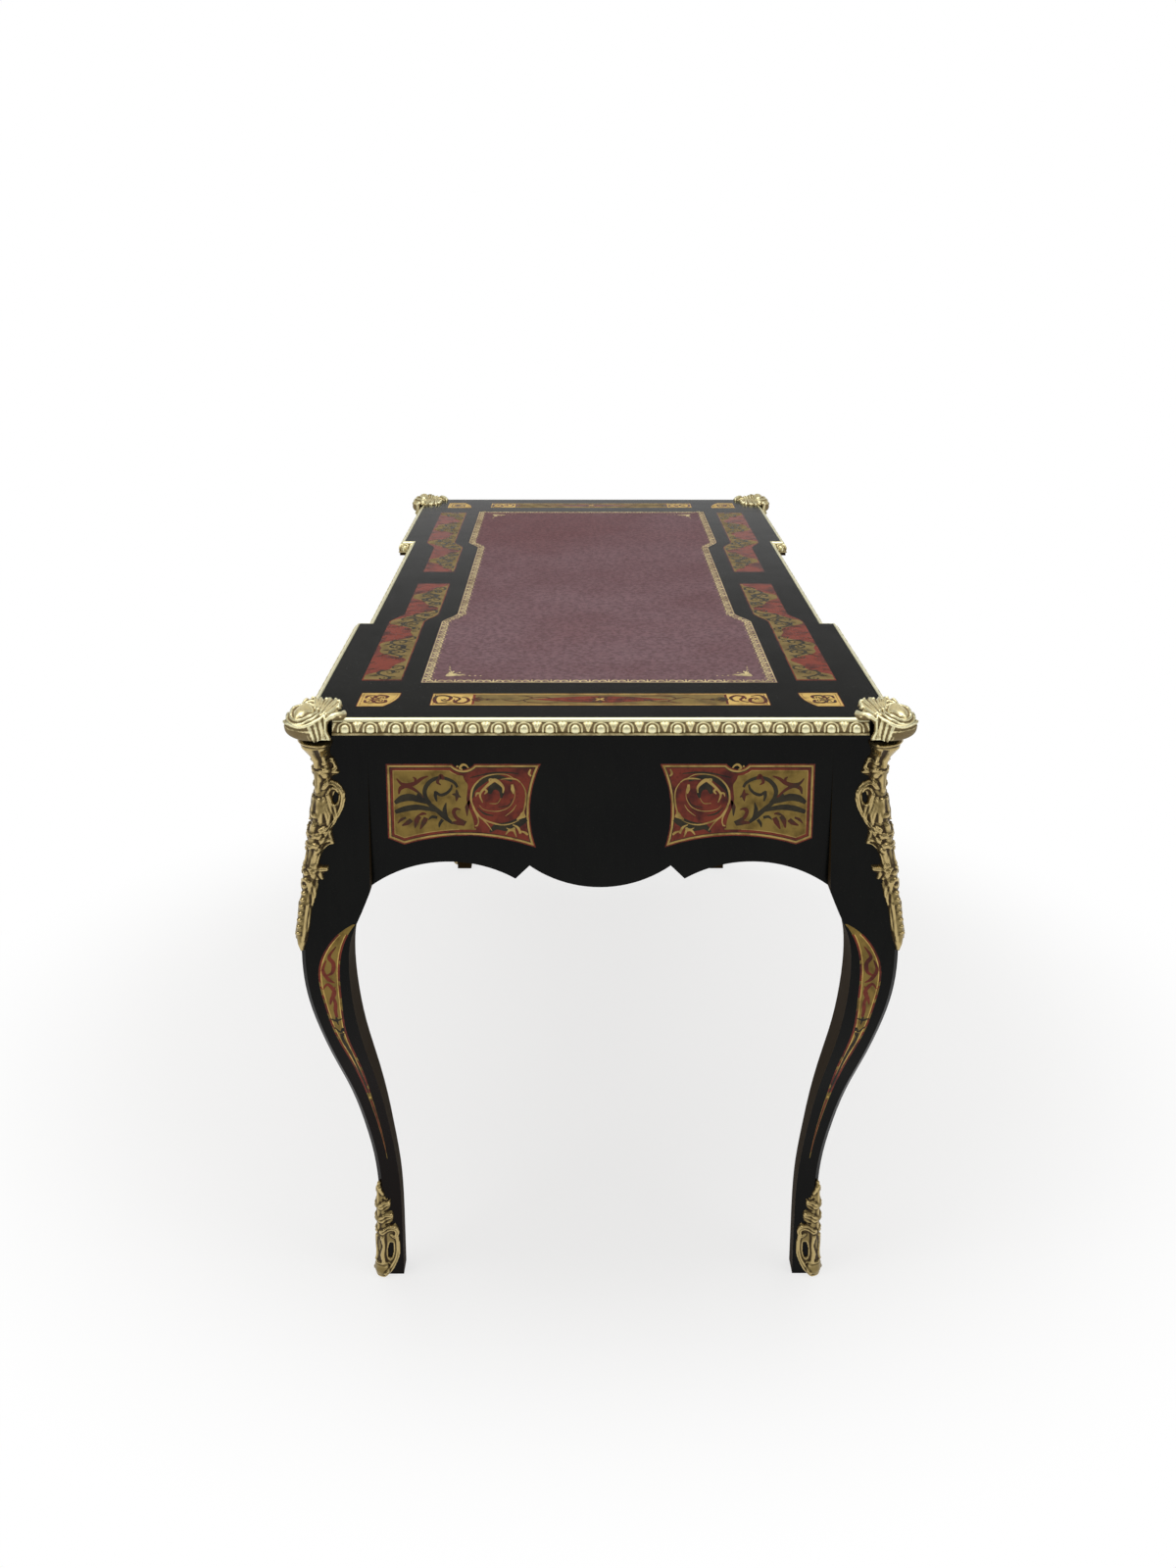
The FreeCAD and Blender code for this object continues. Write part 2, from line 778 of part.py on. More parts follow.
def tenon_levels():
    top = FRIEZE_TOP - TENON_SHOULDER
    return top - TENON_HEIGHT, top


def end_apron_parts():
    """The right end's board and the tenons that go into its two legs."""
    wire = serpentine(
        elevation_end(APRON_INNER_X),
        -POST_INNER_Y,
        POST_INNER_Y,
        FRIEZE_BOTTOM,
        ARCH_RISE,
        FRIEZE_TOP,
    )
    board = slab(wire, Vector(APRON_THICKNESS, 0, 0))
    low, high = tenon_levels()
    x = END_FACE - APRON_THICKNESS / 2
    tenon = box(
        x - TENON_THICKNESS / 2,
        x + TENON_THICKNESS / 2,
        POST_INNER_Y,
        POST_INNER_Y + TENON_LENGTH,
        low,
        high,
    )
    return board, tenon


def side_tenon():
    """The tenon of a back board, and of a front rail, into the right back leg."""
    low, high = tenon_levels()
    y = SIDE_FACE - APRON_THICKNESS / 2
    return box(
        POST_INNER_X,
        POST_INNER_X + TENON_LENGTH,
        y - TENON_THICKNESS / 2,
        y + TENON_THICKNESS / 2,
        low,
        high,
    )


def rail_tenon():
    """The tenon of a front rail under its drawer, into the right front leg."""
    y = -SIDE_FACE + APRON_THICKNESS / 2
    low = FRIEZE_BOTTOM + ARCH_RISE / 2
    return box(
        POST_INNER_X,
        POST_INNER_X + TENON_LENGTH,
        y - TENON_THICKNESS / 2,
        y + TENON_THICKNESS / 2,
        low,
        SIDE_DRAWER_BASE - TENON_THICKNESS,
    )


def back_side_board():
    wire = serpentine(
        elevation_front(SIDE_FACE - APRON_THICKNESS),
        PARTITION_X,
        POST_INNER_X,
        FRIEZE_BOTTOM,
        ARCH_RISE,
        FRIEZE_TOP,
    )
    return slab(wire, Vector(0, APRON_THICKNESS, 0)).fuse(side_tenon())


def kneehole_board(y, top):
    """The board over the kneehole, between the partitions."""
    wire = serpentine(
        elevation_front(y),
        -STEP_X,
        STEP_X,
        FRIEZE_BOTTOM + KNEEHOLE_LIFT,
        KNEEHOLE_RISE,
        top,
    )
    return slab(wire, Vector(0, APRON_THICKNESS, 0))


def front_side_rail():
    """The shaped rail under the right side drawer."""
    wire = serpentine(
        elevation_front(-SIDE_FACE),
        PARTITION_X,
        POST_INNER_X,
        FRIEZE_BOTTOM,
        ARCH_RISE,
        SIDE_DRAWER_BASE,
    )
    return slab(wire, Vector(0, APRON_THICKNESS, 0)).fuse(rail_tenon())


def front_top_rails():
    """The thin rails over the three drawers."""
    side = box(
        PARTITION_X,
        POST_INNER_X,
        -SIDE_FACE,
        -SIDE_FACE + TOP_RAIL_DEPTH,
        RAIL_BOTTOM,
        FRIEZE_TOP,
    )
    middle = box(
        -STEP_X,
        STEP_X,
        -CENTRE_FACE,
        -CENTRE_FACE + TOP_RAIL_DEPTH,
        RAIL_BOTTOM,
        FRIEZE_TOP,
    )
    return together([mirror_x(side), middle, side])


def partition():
    """The upright board beside the kneehole; its edges show at the front and the back."""
    return box(STEP_X, PARTITION_X, -SIDE_FACE, SIDE_FACE, FRIEZE_BOTTOM, FRIEZE_TOP)


def runners():
    """Two runners under each drawer; the outer ones also guide the side drawers."""
    base = SIDE_DRAWER_BASE - RUNNER_HEIGHT
    back = SIDE_FACE - APRON_THICKNESS
    shelf = box(
        POST_INNER_X - RUNNER_WIDTH,
        APRON_INNER_X,
        -POST_INNER_Y,
        POST_INNER_Y,
        base,
        SIDE_DRAWER_BASE,
    )
    guide = box(
        POST_INNER_X,
        APRON_INNER_X,
        -POST_INNER_Y,
        POST_INNER_Y,
        SIDE_DRAWER_BASE,
        SIDE_DRAWER_BASE + GUIDE_HEIGHT,
    )
    outer = shelf.fuse(guide).removeSplitter()
    inner = box(
        PARTITION_X,
        PARTITION_X + RUNNER_WIDTH,
        -back,
        back,
        base,
        SIDE_DRAWER_BASE,
    )
    centre_back = CENTRE_FACE - APRON_THICKNESS
    centre = box(
        STEP_X - RUNNER_WIDTH,
        STEP_X,
        -centre_back,
        centre_back,
        CENTRE_DRAWER_BASE - RUNNER_HEIGHT,
        CENTRE_DRAWER_BASE,
    )
    right = [outer, inner, centre]
    return together([mirror_x(piece) for piece in right] + right)


def drawer_stops():
    """Blocks on the runners that each drawer's back meets when it is pushed home."""

    def stop(x0, x1, face, base):
        y = face + DRAWER_DEPTH + FIT_GAP
        return box(x0, x1, y, y + STOP_LENGTH, base, base + STOP_HEIGHT)

    right = [
        stop(POST_INNER_X - RUNNER_WIDTH, POST_INNER_X, -SIDE_FACE, SIDE_DRAWER_BASE),
        stop(PARTITION_X, PARTITION_X + RUNNER_WIDTH, -SIDE_FACE, SIDE_DRAWER_BASE),
        stop(STEP_X - RUNNER_WIDTH, STEP_X, -CENTRE_FACE, CENTRE_DRAWER_BASE),
    ]
    return together([mirror_x(piece) for piece in right] + right)


# Marquetry panels on the frieze and the drawers


def bowed_panel(put, x0, x1, z0, z1, arch, straight_end):
    """A panel with a bowed end at x0, an arched lower edge and a small dip on top.

    The end at x1 is straight with a cut lower corner, or bowed too.
    """
    way = 1 if x1 > x0 else -1
    middle = (x0 + x1) / 2
    dip = PANEL_BOW / 2
    half_height = (z0 + z1) / 2
    if straight_end:
        far_end = [
            (x1 - way * PANEL_CHAMFER, z0 + PANEL_CHAMFER_RISE / 2),
            (x1, z0 + PANEL_CHAMFER_RISE + PANEL_CHAMFER_RISE / 2),
            (x1, z1),
        ]
    else:
        far_end = [
            (x1 - way * dip, z0),
            ((x1 - way * PANEL_BOW, half_height), (x1, z1)),
        ]
    return outline(
        put,
        (x0, z1),
        [
            ((x0 + way * PANEL_BOW, half_height), (x0 + way * dip, z0)),
            ((middle, z0 + arch), far_end[0]),
            *far_end[1:],
            (middle + way * PANEL_BOW, z1),
            ((middle, z1 - dip), (middle - way * PANEL_BOW, z1)),
            (x0, z1),
        ],
    )


def end_panels():
    """The two panels on the right end."""
    wire = bowed_panel(
        elevation_end(END_FACE - INLAY_THICKNESS),
        END_PANEL_INNER,
        POST_INNER_Y - PANEL_SIDE_MARGIN,
        FRIEZE_BOTTOM + ARCH_RISE + PANEL_WEB,
        FRIEZE_TOP - PANEL_TOP_MARGIN,
        PANEL_ARCH,
        True,
    )
    panel = slab(wire, Vector(INLAY_THICKNESS, 0, 0))
    return together([panel, mirror_y(panel)])


def long_panel(y, x0, x1, z0, z1):
    """A panel with both ends bowed, let into a face that looks along -Y at y."""
    wire = bowed_panel(elevation_front(y), x0, x1, z0, z1, DRAWER_PANEL_ARCH, False)
    return slab(wire, Vector(0, INLAY_THICKNESS, 0))


def back_panels():
    """The fixed panels on the back, which match the drawers'."""
    z1 = RAIL_BOTTOM - DRAWER_PANEL_EDGE
    side = long_panel(
        SIDE_FACE - INLAY_THICKNESS,
        PARTITION_X + DRAWER_PANEL_MARGIN,
        POST_INNER_X - DRAWER_PANEL_MARGIN,
        SIDE_DRAWER_BASE + DRAWER_PANEL_EDGE,
        z1,
    )
    middle = long_panel(
        CENTRE_FACE - INLAY_THICKNESS,
        -STEP_X + DRAWER_PANEL_MARGIN,
        STEP_X - DRAWER_PANEL_MARGIN,
        CENTRE_DRAWER_BASE + DRAWER_PANEL_EDGE,
        z1,
    )
    return side, middle


# Drawers


def keyhole(x, y, z, depth):
    """A round hole with a slot below it, through a board from its face at y."""
    start = Vector(x, y - OVERRUN, z)
    end = Vector(x, y + depth + OVERRUN, z)
    slot = box(
        x - KEYHOLE_SLOT / 2,
        x + KEYHOLE_SLOT / 2,
        start.y,
        end.y,
        z - KEYHOLE_LENGTH,
        z,
    )
    return cylinder(KEYHOLE_RADIUS, start, end).fuse(slot)


def escutcheon(x, y, z):
    """A pointed oval plate round a keyhole, on a drawer front at y."""
    half_width = ESCUTCHEON_WIDTH / 2
    half_height = ESCUTCHEON_HEIGHT / 2
    bulge = half_width * 3 / 4
    wire = outline(
        elevation_front(y - ESCUTCHEON_THICKNESS),
        (x, z + half_height),
        [
            ((x - bulge, z + half_height / 2), (x - half_width, z)),
            ((x - bulge, z - half_height / 2), (x, z - half_height)),
            ((x + bulge, z - half_height / 2), (x + half_width, z)),
            ((x + bulge, z + half_height / 2), (x, z + half_height)),
        ],
    )
    plate = slab(wire, Vector(0, ESCUTCHEON_THICKNESS, 0))
    return plate.cut(keyhole(x, y, z, ESCUTCHEON_THICKNESS))


def drawer(x0, x1, base, height, face, keyhole_share):
    """A drawer's front, box, panel, escutcheon and lock; its opening starts at x0."""
    middle = (x0 + x1) / 2
    key_z = base + keyhole_share * height
    front = box(
        x0 + DRAWER_GAP,
        x1 - DRAWER_GAP,
        face,
        face + DRAWER_FRONT_THICKNESS,
        base + DRAWER_GAP,
        base + height - DRAWER_GAP,
    )
    panel = long_panel(
        face,
        x0 + DRAWER_PANEL_MARGIN,
        x1 - DRAWER_PANEL_MARGIN,
        base + DRAWER_PANEL_EDGE,
        base + height - DRAWER_PANEL_EDGE,
    )
    hole = keyhole(middle, face, key_z, DRAWER_FRONT_THICKNESS)
    left = x0 + DRAWER_SIDE_PLAY
    right = x1 - DRAWER_SIDE_PLAY
    start = face + DRAWER_FRONT_THICKNESS
    end = face + DRAWER_DEPTH
    low = base + FIT_GAP
    high = base + height - DRAWER_TOP_PLAY
    inner_left = left + DRAWER_SIDE_THICKNESS
    inner_right = right - DRAWER_SIDE_THICKNESS
    floor = low + DRAWER_BOTTOM_RAISE
    sides = [
        box(left, inner_left, start, end, low, high),
        box(inner_right, right, start, end, low, high),
        box(inner_left, inner_right, end - DRAWER_SIDE_THICKNESS, end, low, high),
        box(
            inner_left,
            inner_right,
            start,
            end - DRAWER_SIDE_THICKNESS,
            floor,
            floor + DRAWER_BOTTOM_THICKNESS,
        ),
    ]
    lock = box(
        middle - LOCK_WIDTH / 2,
        middle + LOCK_WIDTH / 2,
        start,
        start + LOCK_THICKNESS,
        key_z - LOCK_HEIGHT / 2,
        min(key_z + LOCK_HEIGHT / 2, high),
    )
    return {
        "front": front.cut(panel).cut(hole),
        "box": together(sides),
        "panel": panel.cut(hole),
        "escutcheon": escutcheon(middle, face, key_z),
        "lock": lock,
    }


def pull(middle, base, height, face):
    """A side drawer's pull: its rosettes with their posts, and the bail that swings."""
    z = base + PULL_RISE_SHARE * height
    pivot_y = face - PIVOT_STAND
    hole_radius = PINTLE_RADIUS + PINTLE_PLAY
    half = PULL_SPACING / 2
    arm = half + BAIL_ARM_OFFSET
    rosettes = []
    for side in (-1, 1):
        x = middle + side * half
        plate = cylinder(
            ROSETTE_RADIUS, Vector(x, face - ROSETTE_THICKNESS, z), Vector(x, face, z)
        )
        post = cylinder(POST_RADIUS, Vector(x, face - POST_LENGTH, z), Vector(x, face, z))
        pivot = cylinder(
            hole_radius,
            Vector(x - ROSETTE_RADIUS, pivot_y, z),
            Vector(x + ROSETTE_RADIUS, pivot_y, z),
        )
        rosettes.append(plate.fuse(post).removeSplitter().cut(pivot))
    low = z - BAIL_DROP

    def at(x, height_z):
        return Vector(middle + x, pivot_y, height_z)

    bow = BAIL_BEND * (1 - math.sqrt(1 / 2))
    path = Part.Wire(
        [
            Part.LineSegment(at(-arm, z), at(-arm, low + BAIL_BEND)).toShape(),
            Part.Arc(
                at(-arm, low + BAIL_BEND), at(-arm + bow, low + bow), at(-arm + BAIL_BEND, low)
            ).toShape(),
            Part.LineSegment(at(-arm + BAIL_BEND, low), at(arm - BAIL_BEND, low)).toShape(),
            Part.Arc(
                at(arm - BAIL_BEND, low), at(arm - bow, low + bow), at(arm, low + BAIL_BEND)
            ).toShape(),
            Part.LineSegment(at(arm, low + BAIL_BEND), at(arm, z)).toShape(),
        ]
    )
    ring = Part.Wire([Part.makeCircle(BAIL_RADIUS, at(-arm, z), Vector(0, 0, 1))])
    bail = path.makePipeShell([ring], True, True)
    for side in (-1, 1):
        eye = Part.makeSphere(BAIL_RADIUS, at(side * arm, z))
        pintle = cylinder(
            PINTLE_RADIUS, at(side * arm, z), at(side * (half - POST_RADIUS / 2), z)
        )
        bail = bail.fuse(eye).fuse(pintle)
    grip = cylinder(
        BAIL_GRIP_RADIUS, at(-BAIL_GRIP_LENGTH / 2, low), at(BAIL_GRIP_LENGTH / 2, low)
    )
    return together(rosettes), bail.fuse(grip)


# Blocks and screws under the top


def back_block():
    """The three-cornered block behind the right back leg."""
    x = APRON_INNER_X
    y = SIDE_FACE - APRON_THICKNESS
    wire = outline(
        plan(FRIEZE_TOP - BLOCK_HEIGHT),
        (POST_INNER_X, POST_INNER_Y),
        [
            (x, POST_INNER_Y),
            (x, POST_INNER_Y - BLOCK_LEG),
            (POST_INNER_X - BLOCK_LEG, y),
            (POST_INNER_X, y),
            (POST_INNER_X, POST_INNER_Y),
        ],
    )
    return slab(wire, Vector(0, 0, BLOCK_HEIGHT))


def front_block():
    """The square block behind the right front leg, beside the drawer."""
    return box(
        POST_INNER_X,
        APRON_INNER_X,
        -POST_INNER_Y,
        -POST_INNER_Y + BLOCK_LEG,
        FRIEZE_TOP - BLOCK_HEIGHT,
        FRIEZE_TOP,
    )


def block_screws(gap):
    """The screws that hold the top at the two right blocks, gap wider all round."""
    screws = []
    low = FRIEZE_TOP - BLOCK_HEIGHT
    x = APRON_INNER_X - SCREW_INSET
    places = (
        (x, POST_INNER_Y - SCREW_INSET),
        (POST_INNER_X - SCREW_INSET, SIDE_FACE - APRON_THICKNESS - SCREW_INSET),
        (x, -POST_INNER_Y + BLOCK_LEG / 2),
    )
    for x, y in places:
        head = cylinder(
            SCREW_HEAD_RADIUS + gap,
            Vector(x, y, low - gap),
            Vector(x, y, low + SCREW_HEAD_HEIGHT + gap),
        )
        shank = cylinder(
            SCREW_RADIUS + gap,
            Vector(x, y, low),
            Vector(x, y, FRIEZE_TOP + SCREW_BITE + gap),
        )
        screws.append(head.fuse(shank).removeSplitter())
    return together(screws)


def build():
    """Makes every piece; the keys are the nodes' names."""
    pieces = {}

    leather = slab(leather_outline(HEIGHT - LEATHER_THICKNESS), Vector(0, 0, LEATHER_THICKNESS))
    inlays = top_inlays()
    board = top_slab(MOULDING_DEPTH, FRIEZE_TOP, HEIGHT).fuse(
        top_slab(LIP_INSET, FRIEZE_TOP, FRIEZE_TOP + LIP_HEIGHT)
    )
    board = board.removeSplitter()
    front = front_mouldings()
    end = end_moulding()
    mount = corner_mount(board).cut(mirror_y(front)).cut(end)
    for name, shape in four_corners(mount).items():
        pieces["corner_mount_" + name] = shape
    screw_holes = block_screws(SCREW_GAP)
    board = board.cut(screw_holes).cut(mirror_x(screw_holes))
    pieces["top_board"] = board.cut(leather).cut(inlays)
    pieces["leather_writing_surface"] = leather
    pieces["top_inlay_panels"] = inlays
    pieces["edge_moulding_front"] = front
    pieces["edge_moulding_back"] = mirror_y(front)
    pieces["edge_moulding_right"] = end
    pieces["edge_moulding_left"] = mirror_x(end)

    blank = leg_blank()
    reach = POST_WIDTH + KNEE_THICKNESS

    def end_place(swing, height):
        return Vector(END_FACE - reach, SIDE_FACE + swing, height)

    def side_place(swing, height):
        return Vector(END_FACE + swing, SIDE_FACE - reach, height)

    leg_inlays = [
        leg_inlay(blank, end_place, Vector(1, 0, 0)),
        leg_inlay(blank, side_place, Vector(0, 1, 0)),
    ]
    end_board, end_tenon = end_apron_parts()
    leg = mortise(blank.cut(leg_inlays[0]).cut(leg_inlays[1]), end_tenon)
    back_legs = four_corners(mortise(leg, side_tenon()))
    front_legs = four_corners(mirror_y(mortise(mirror_y(leg), rail_tenon())))
    for name in ("back_left", "back_right"):
        pieces["leg_" + name] = back_legs[name]
    for name in ("front_left", "front_right"):
        pieces["leg_" + name] = front_legs[name]
    pieces["leg_inlay_panels"] = together(
        [shape for inlay in leg_inlays for shape in four_corners(inlay).values()]
    )
    knee_foot = FRIEZE_TOP - KNEE_MOUNT_TOP_GAP - KNEE_MOUNT_LENGTH
    knee_mount = corner_casting(
        blank,
        knee_foot,
        KNEE_MOUNT_LENGTH,
        KNEE_MOUNT_REACH,
        KNEE_MOUNT_STAND,
        KNEE_MOUNT_SHARES,
    )
    foot_mount = corner_casting(
        blank,
        0,
        FOOT_MOUNT_HEIGHT,
        FOOT_MOUNT_REACH,
        FOOT_MOUNT_STAND,
        FOOT_MOUNT_SHARES,
    )
    for name, shape in four_corners(knee_mount).items():
        pieces["knee_mount_" + name] = shape
    for name, shape in four_corners(foot_mount).items():
        pieces["foot_mount_" + name] = shape

    panels = end_panels()
    apron = end_board.fuse(end_tenon).fuse(mirror_y(end_tenon)).removeSplitter().cut(panels)
    pieces["end_apron_right"] = apron
    pieces["end_apron_left"] = mirror_x(apron)
    side_panel, middle_panel = back_panels()
    back_side = back_side_board().removeSplitter().cut(side_panel)
    pieces["back_apron_right"] = back_side
    pieces["back_apron_left"] = mirror_x(back_side)
    back_centre = kneehole_board(CENTRE_FACE - APRON_THICKNESS, FRIEZE_TOP)
    pieces["back_apron_centre"] = back_centre.cut(middle_panel)
    pieces["frieze_inlay_panels"] = together(
        [panels, mirror_x(panels), side_panel, mirror_x(side_panel), middle_panel]
    )
    rail = front_side_rail().removeSplitter()
    pieces["front_rail_right"] = rail
    pieces["front_rail_left"] = mirror_x(rail)
    pieces["front_rail_centre"] = kneehole_board(-CENTRE_FACE, CENTRE_DRAWER_BASE)
    pieces["front_top_rails"] = front_top_rails()
    pieces["partition_right"] = partition()
    pieces["partition_left"] = mirror_x(partition())
    pieces["drawer_runners"] = runners()
    pieces["drawer_stops"] = drawer_stops()
    blocks = together([back_block(), front_block()]).cut(screw_holes)
    pieces["glue_blocks"] = together([blocks, mirror_x(blocks)])
    screws = block_screws(0)
    pieces["top_screws"] = together([screws, mirror_x(screws)])

    openings = {
        "left": (
            -POST_INNER_X,
            -PARTITION_X,
            SIDE_DRAWER_BASE,
            SIDE_DRAWER_HEIGHT,
            -SIDE_FACE,
            SIDE_KEYHOLE_SHARE,
        ),
        "centre": (
            -STEP_X,
            STEP_X,
            CENTRE_DRAWER_BASE,
            CENTRE_DRAWER_HEIGHT,
            -CENTRE_FACE,
            CENTRE_KEYHOLE_SHARE,
        ),
        "right": (
            PARTITION_X,
            POST_INNER_X,
            SIDE_DRAWER_BASE,
            SIDE_DRAWER_HEIGHT,
            -SIDE_FACE,
            SIDE_KEYHOLE_SHARE,
        ),
    }
    for name, sizes in openings.items():
        for kind, shape in drawer(*sizes).items():
            pieces[f"{name}_drawer_{kind}"] = shape
    for name, way in (("left", -1), ("right", 1)):
        rosettes, bail = pull(
            way * SIDE_DRAWER_MIDDLE, SIDE_DRAWER_BASE, SIDE_DRAWER_HEIGHT, -SIDE_FACE
        )
        pieces[name + "_drawer_pull_rosettes"] = rosettes
        pieces[name + "_drawer_bail"] = bail
    return pieces


os.makedirs("parts", exist_ok=True)
for piece_name, piece_shape in build().items():
    export(piece_name, piece_shape)
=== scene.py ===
import json
import math
from collections import namedtuple

import bmesh
import bpy
import numpy as np
from bpy.props import FloatProperty, FloatVectorProperty, PointerProperty
from mathutils import Matrix, Vector
from mathutils.bvhtree import BVHTree
from mathutils.geometry import tessellate_polygon


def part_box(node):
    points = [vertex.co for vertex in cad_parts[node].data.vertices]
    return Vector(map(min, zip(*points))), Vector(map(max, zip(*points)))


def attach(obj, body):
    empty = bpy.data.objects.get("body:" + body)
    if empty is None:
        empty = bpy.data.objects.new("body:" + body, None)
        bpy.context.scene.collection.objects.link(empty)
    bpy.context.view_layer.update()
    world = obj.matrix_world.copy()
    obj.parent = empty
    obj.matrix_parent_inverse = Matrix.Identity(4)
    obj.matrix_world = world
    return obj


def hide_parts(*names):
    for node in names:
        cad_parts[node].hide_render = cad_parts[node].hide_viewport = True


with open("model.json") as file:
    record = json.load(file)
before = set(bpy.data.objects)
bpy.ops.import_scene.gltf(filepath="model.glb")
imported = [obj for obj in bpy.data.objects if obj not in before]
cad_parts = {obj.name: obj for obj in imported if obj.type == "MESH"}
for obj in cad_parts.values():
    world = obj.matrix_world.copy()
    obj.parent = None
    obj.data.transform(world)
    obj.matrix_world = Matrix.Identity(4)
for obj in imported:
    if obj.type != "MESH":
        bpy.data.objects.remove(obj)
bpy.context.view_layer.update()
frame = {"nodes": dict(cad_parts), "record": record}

bl_info = {
    "name": "Writing desk finishes",
    "version": (1, 0, 0),
    "blender": (4, 5, 0),
    "location": "3D View > Sidebar > Desk",
    "description": "Dresses the black lacquered writing desk with its mounts, marquetry and leather",
    "category": "Object",
}

MM = 0.001
CARCASS = "carcass"
CORNERS = {"front_left": (-1, -1), "front_right": (1, -1), "back_left": (-1, 1), "back_right": (1, 1)}
QUARTERS = tuple(CORNERS.values())
BOTH_ENDS = ((1, 1), (-1, 1))
AS_DRAWN = ((1, 1),)
X, Y, Z = Vector((1, 0, 0)), Vector((0, 1, 0)), Vector((0, 0, 1))


# Planes of the desk that the ornament sits on, in metres

# The top's size over its edge moulding, in millimetres
TOP_LENGTH, TOP_WIDTH = 1500.0, 695.0
PLANES = {
    "top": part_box("top_board")[1].z,
    "end_face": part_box("frieze_inlay_panels")[1].x,
    "side_face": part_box("frieze_inlay_panels")[1].y,
    "centre_face": -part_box("centre_drawer_panel")[0].y,
    "mould_foot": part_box("edge_moulding_front")[0].z,
    "mould_front": TOP_WIDTH / 2 * MM,
    "mould_reach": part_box("edge_moulding_front")[1].x,
    "mould_end": TOP_LENGTH / 2 * MM,
    "mould_end_reach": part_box("edge_moulding_right")[1].y,
}


# Shader expressions


class Value:
    """A shader value that can stand in a sum."""

    def __init__(self, shading, output):
        self.shading = shading
        self.output = output

    def _math(self, operation, *values):
        inputs = dict(enumerate(values))
        return self.shading.node("ShaderNodeMath", {"operation": operation}, inputs)

    def __add__(self, other):
        return self._math("ADD", self, other)

    __radd__ = __add__

    def __sub__(self, other):
        return self._math("SUBTRACT", self, other)

    def __rsub__(self, other):
        return self._math("SUBTRACT", other, self)

    def __mul__(self, other):
        return self._math("MULTIPLY", self, other)

    __rmul__ = __mul__

    def __neg__(self):
        return self * -1.0

    def sine(self):
        return self._math("SINE", self)

    def most(self, other):
        return self._math("MAXIMUM", self, other)

    def between(self, low, high):
        """0 below low, 1 above high and smooth between them."""
        settings = {"interpolation_type": "SMOOTHSTEP"}
        inputs = {"Value": self, "From Min": low, "From Max": high}
        return self.shading.node("ShaderNodeMapRange", settings, inputs)


class Shading:
    """A node tree that is written as expressions."""

    def __init__(self, tree):
        self.tree = tree

    def node(self, kind, settings=None, inputs=None, output=0):
        """Any node: settings first, then the values or links of its sockets.

        Gives the named or numbered output, or nothing where output is None.
        """
        made = self.tree.nodes.new(kind)
        for key, value in (settings or {}).items():
            setattr(made, key, value)
        for key, value in (inputs or {}).items():
            self.feed(made.inputs[key], value)
        return None if output is None else Value(self, made.outputs[output])

    def feed(self, socket, value):
        if isinstance(value, Value):
            self.tree.links.new(value.output, socket)
        elif hasattr(socket.default_value, "__len__") and len(value) < len(socket.default_value):
            socket.default_value = (*value, 1.0)
        else:
            socket.default_value = value

    def seen(self):
        """1 for the rays that show the surroundings: to the camera, in gloss and in glass."""
        kinds = ("Is Camera Ray", "Is Glossy Ray", "Is Transmission Ray")
        camera, gloss, glass = (self.node("ShaderNodeLightPath", output=kind) for kind in kinds)
        return camera.most(gloss).most(glass)

    def inward(self):
        """1 on the faces that look in at the middle of the desk, 0 on those that look out."""
        facing = self.node("ShaderNodeTexCoord", output="Normal")
        inputs = {0: facing, 1: self.place((-1.0, -1.0, 0.0))}
        dot = self.node("ShaderNodeVectorMath", {"operation": "DOT_PRODUCT"}, inputs, "Value")
        return dot.between(0.05, 0.20)

    def place(self, stretch=(1.0, 1.0, 1.0)):
        """Where the surface is, in metres, stretched along the axes."""
        where = self.node("ShaderNodeTexCoord", output="Object")
        return self.node("ShaderNodeVectorMath", {"operation": "MULTIPLY"}, {0: where, 1: stretch})

    def noise(self, where, scale, detail=2.0, roughness=0.5):
        inputs = {"Vector": where, "Scale": scale, "Detail": detail, "Roughness": roughness}
        return self.node("ShaderNodeTexNoise", None, inputs)

    def cells(self, where, scale, feature="F1"):
        settings = {"feature": feature}
        return self.node("ShaderNodeTexVoronoi", settings, {"Vector": where, "Scale": scale})

    def mix(self, factor, low, high):
        """A colour between two colours."""
        return self.node("ShaderNodeMix", {"data_type": "RGBA"}, {0: factor, 6: low, 7: high}, 2)


class Finish(Shading):
    """One material: a Principled shader and the nodes that feed it."""

    def __init__(self, name, **constants):
        self.material = bpy.data.materials.new(name)
        self.material.use_nodes = True
        super().__init__(self.material.node_tree)
        self.shader = self.tree.nodes["Principled BSDF"]
        for key, value in constants.items():
            self.set(key.replace("_", " ").title().replace("Ior", "IOR"), value)

    def set(self, name, value):
        self.feed(self.shader.inputs[name], value)

    def bump(self, height, distance, strength=1.0):
        inputs = {"Height": height, "Distance": distance, "Strength": strength}
        self.set("Normal", self.node("ShaderNodeBump", None, inputs))


def tinted(colour, *shares):
    """A colour scaled by one share or by one for each channel."""
    shares = shares * 3 if len(shares) == 1 else shares
    return tuple(min(1.0, c * s) for c, s in zip(colour, shares))


# Finishes


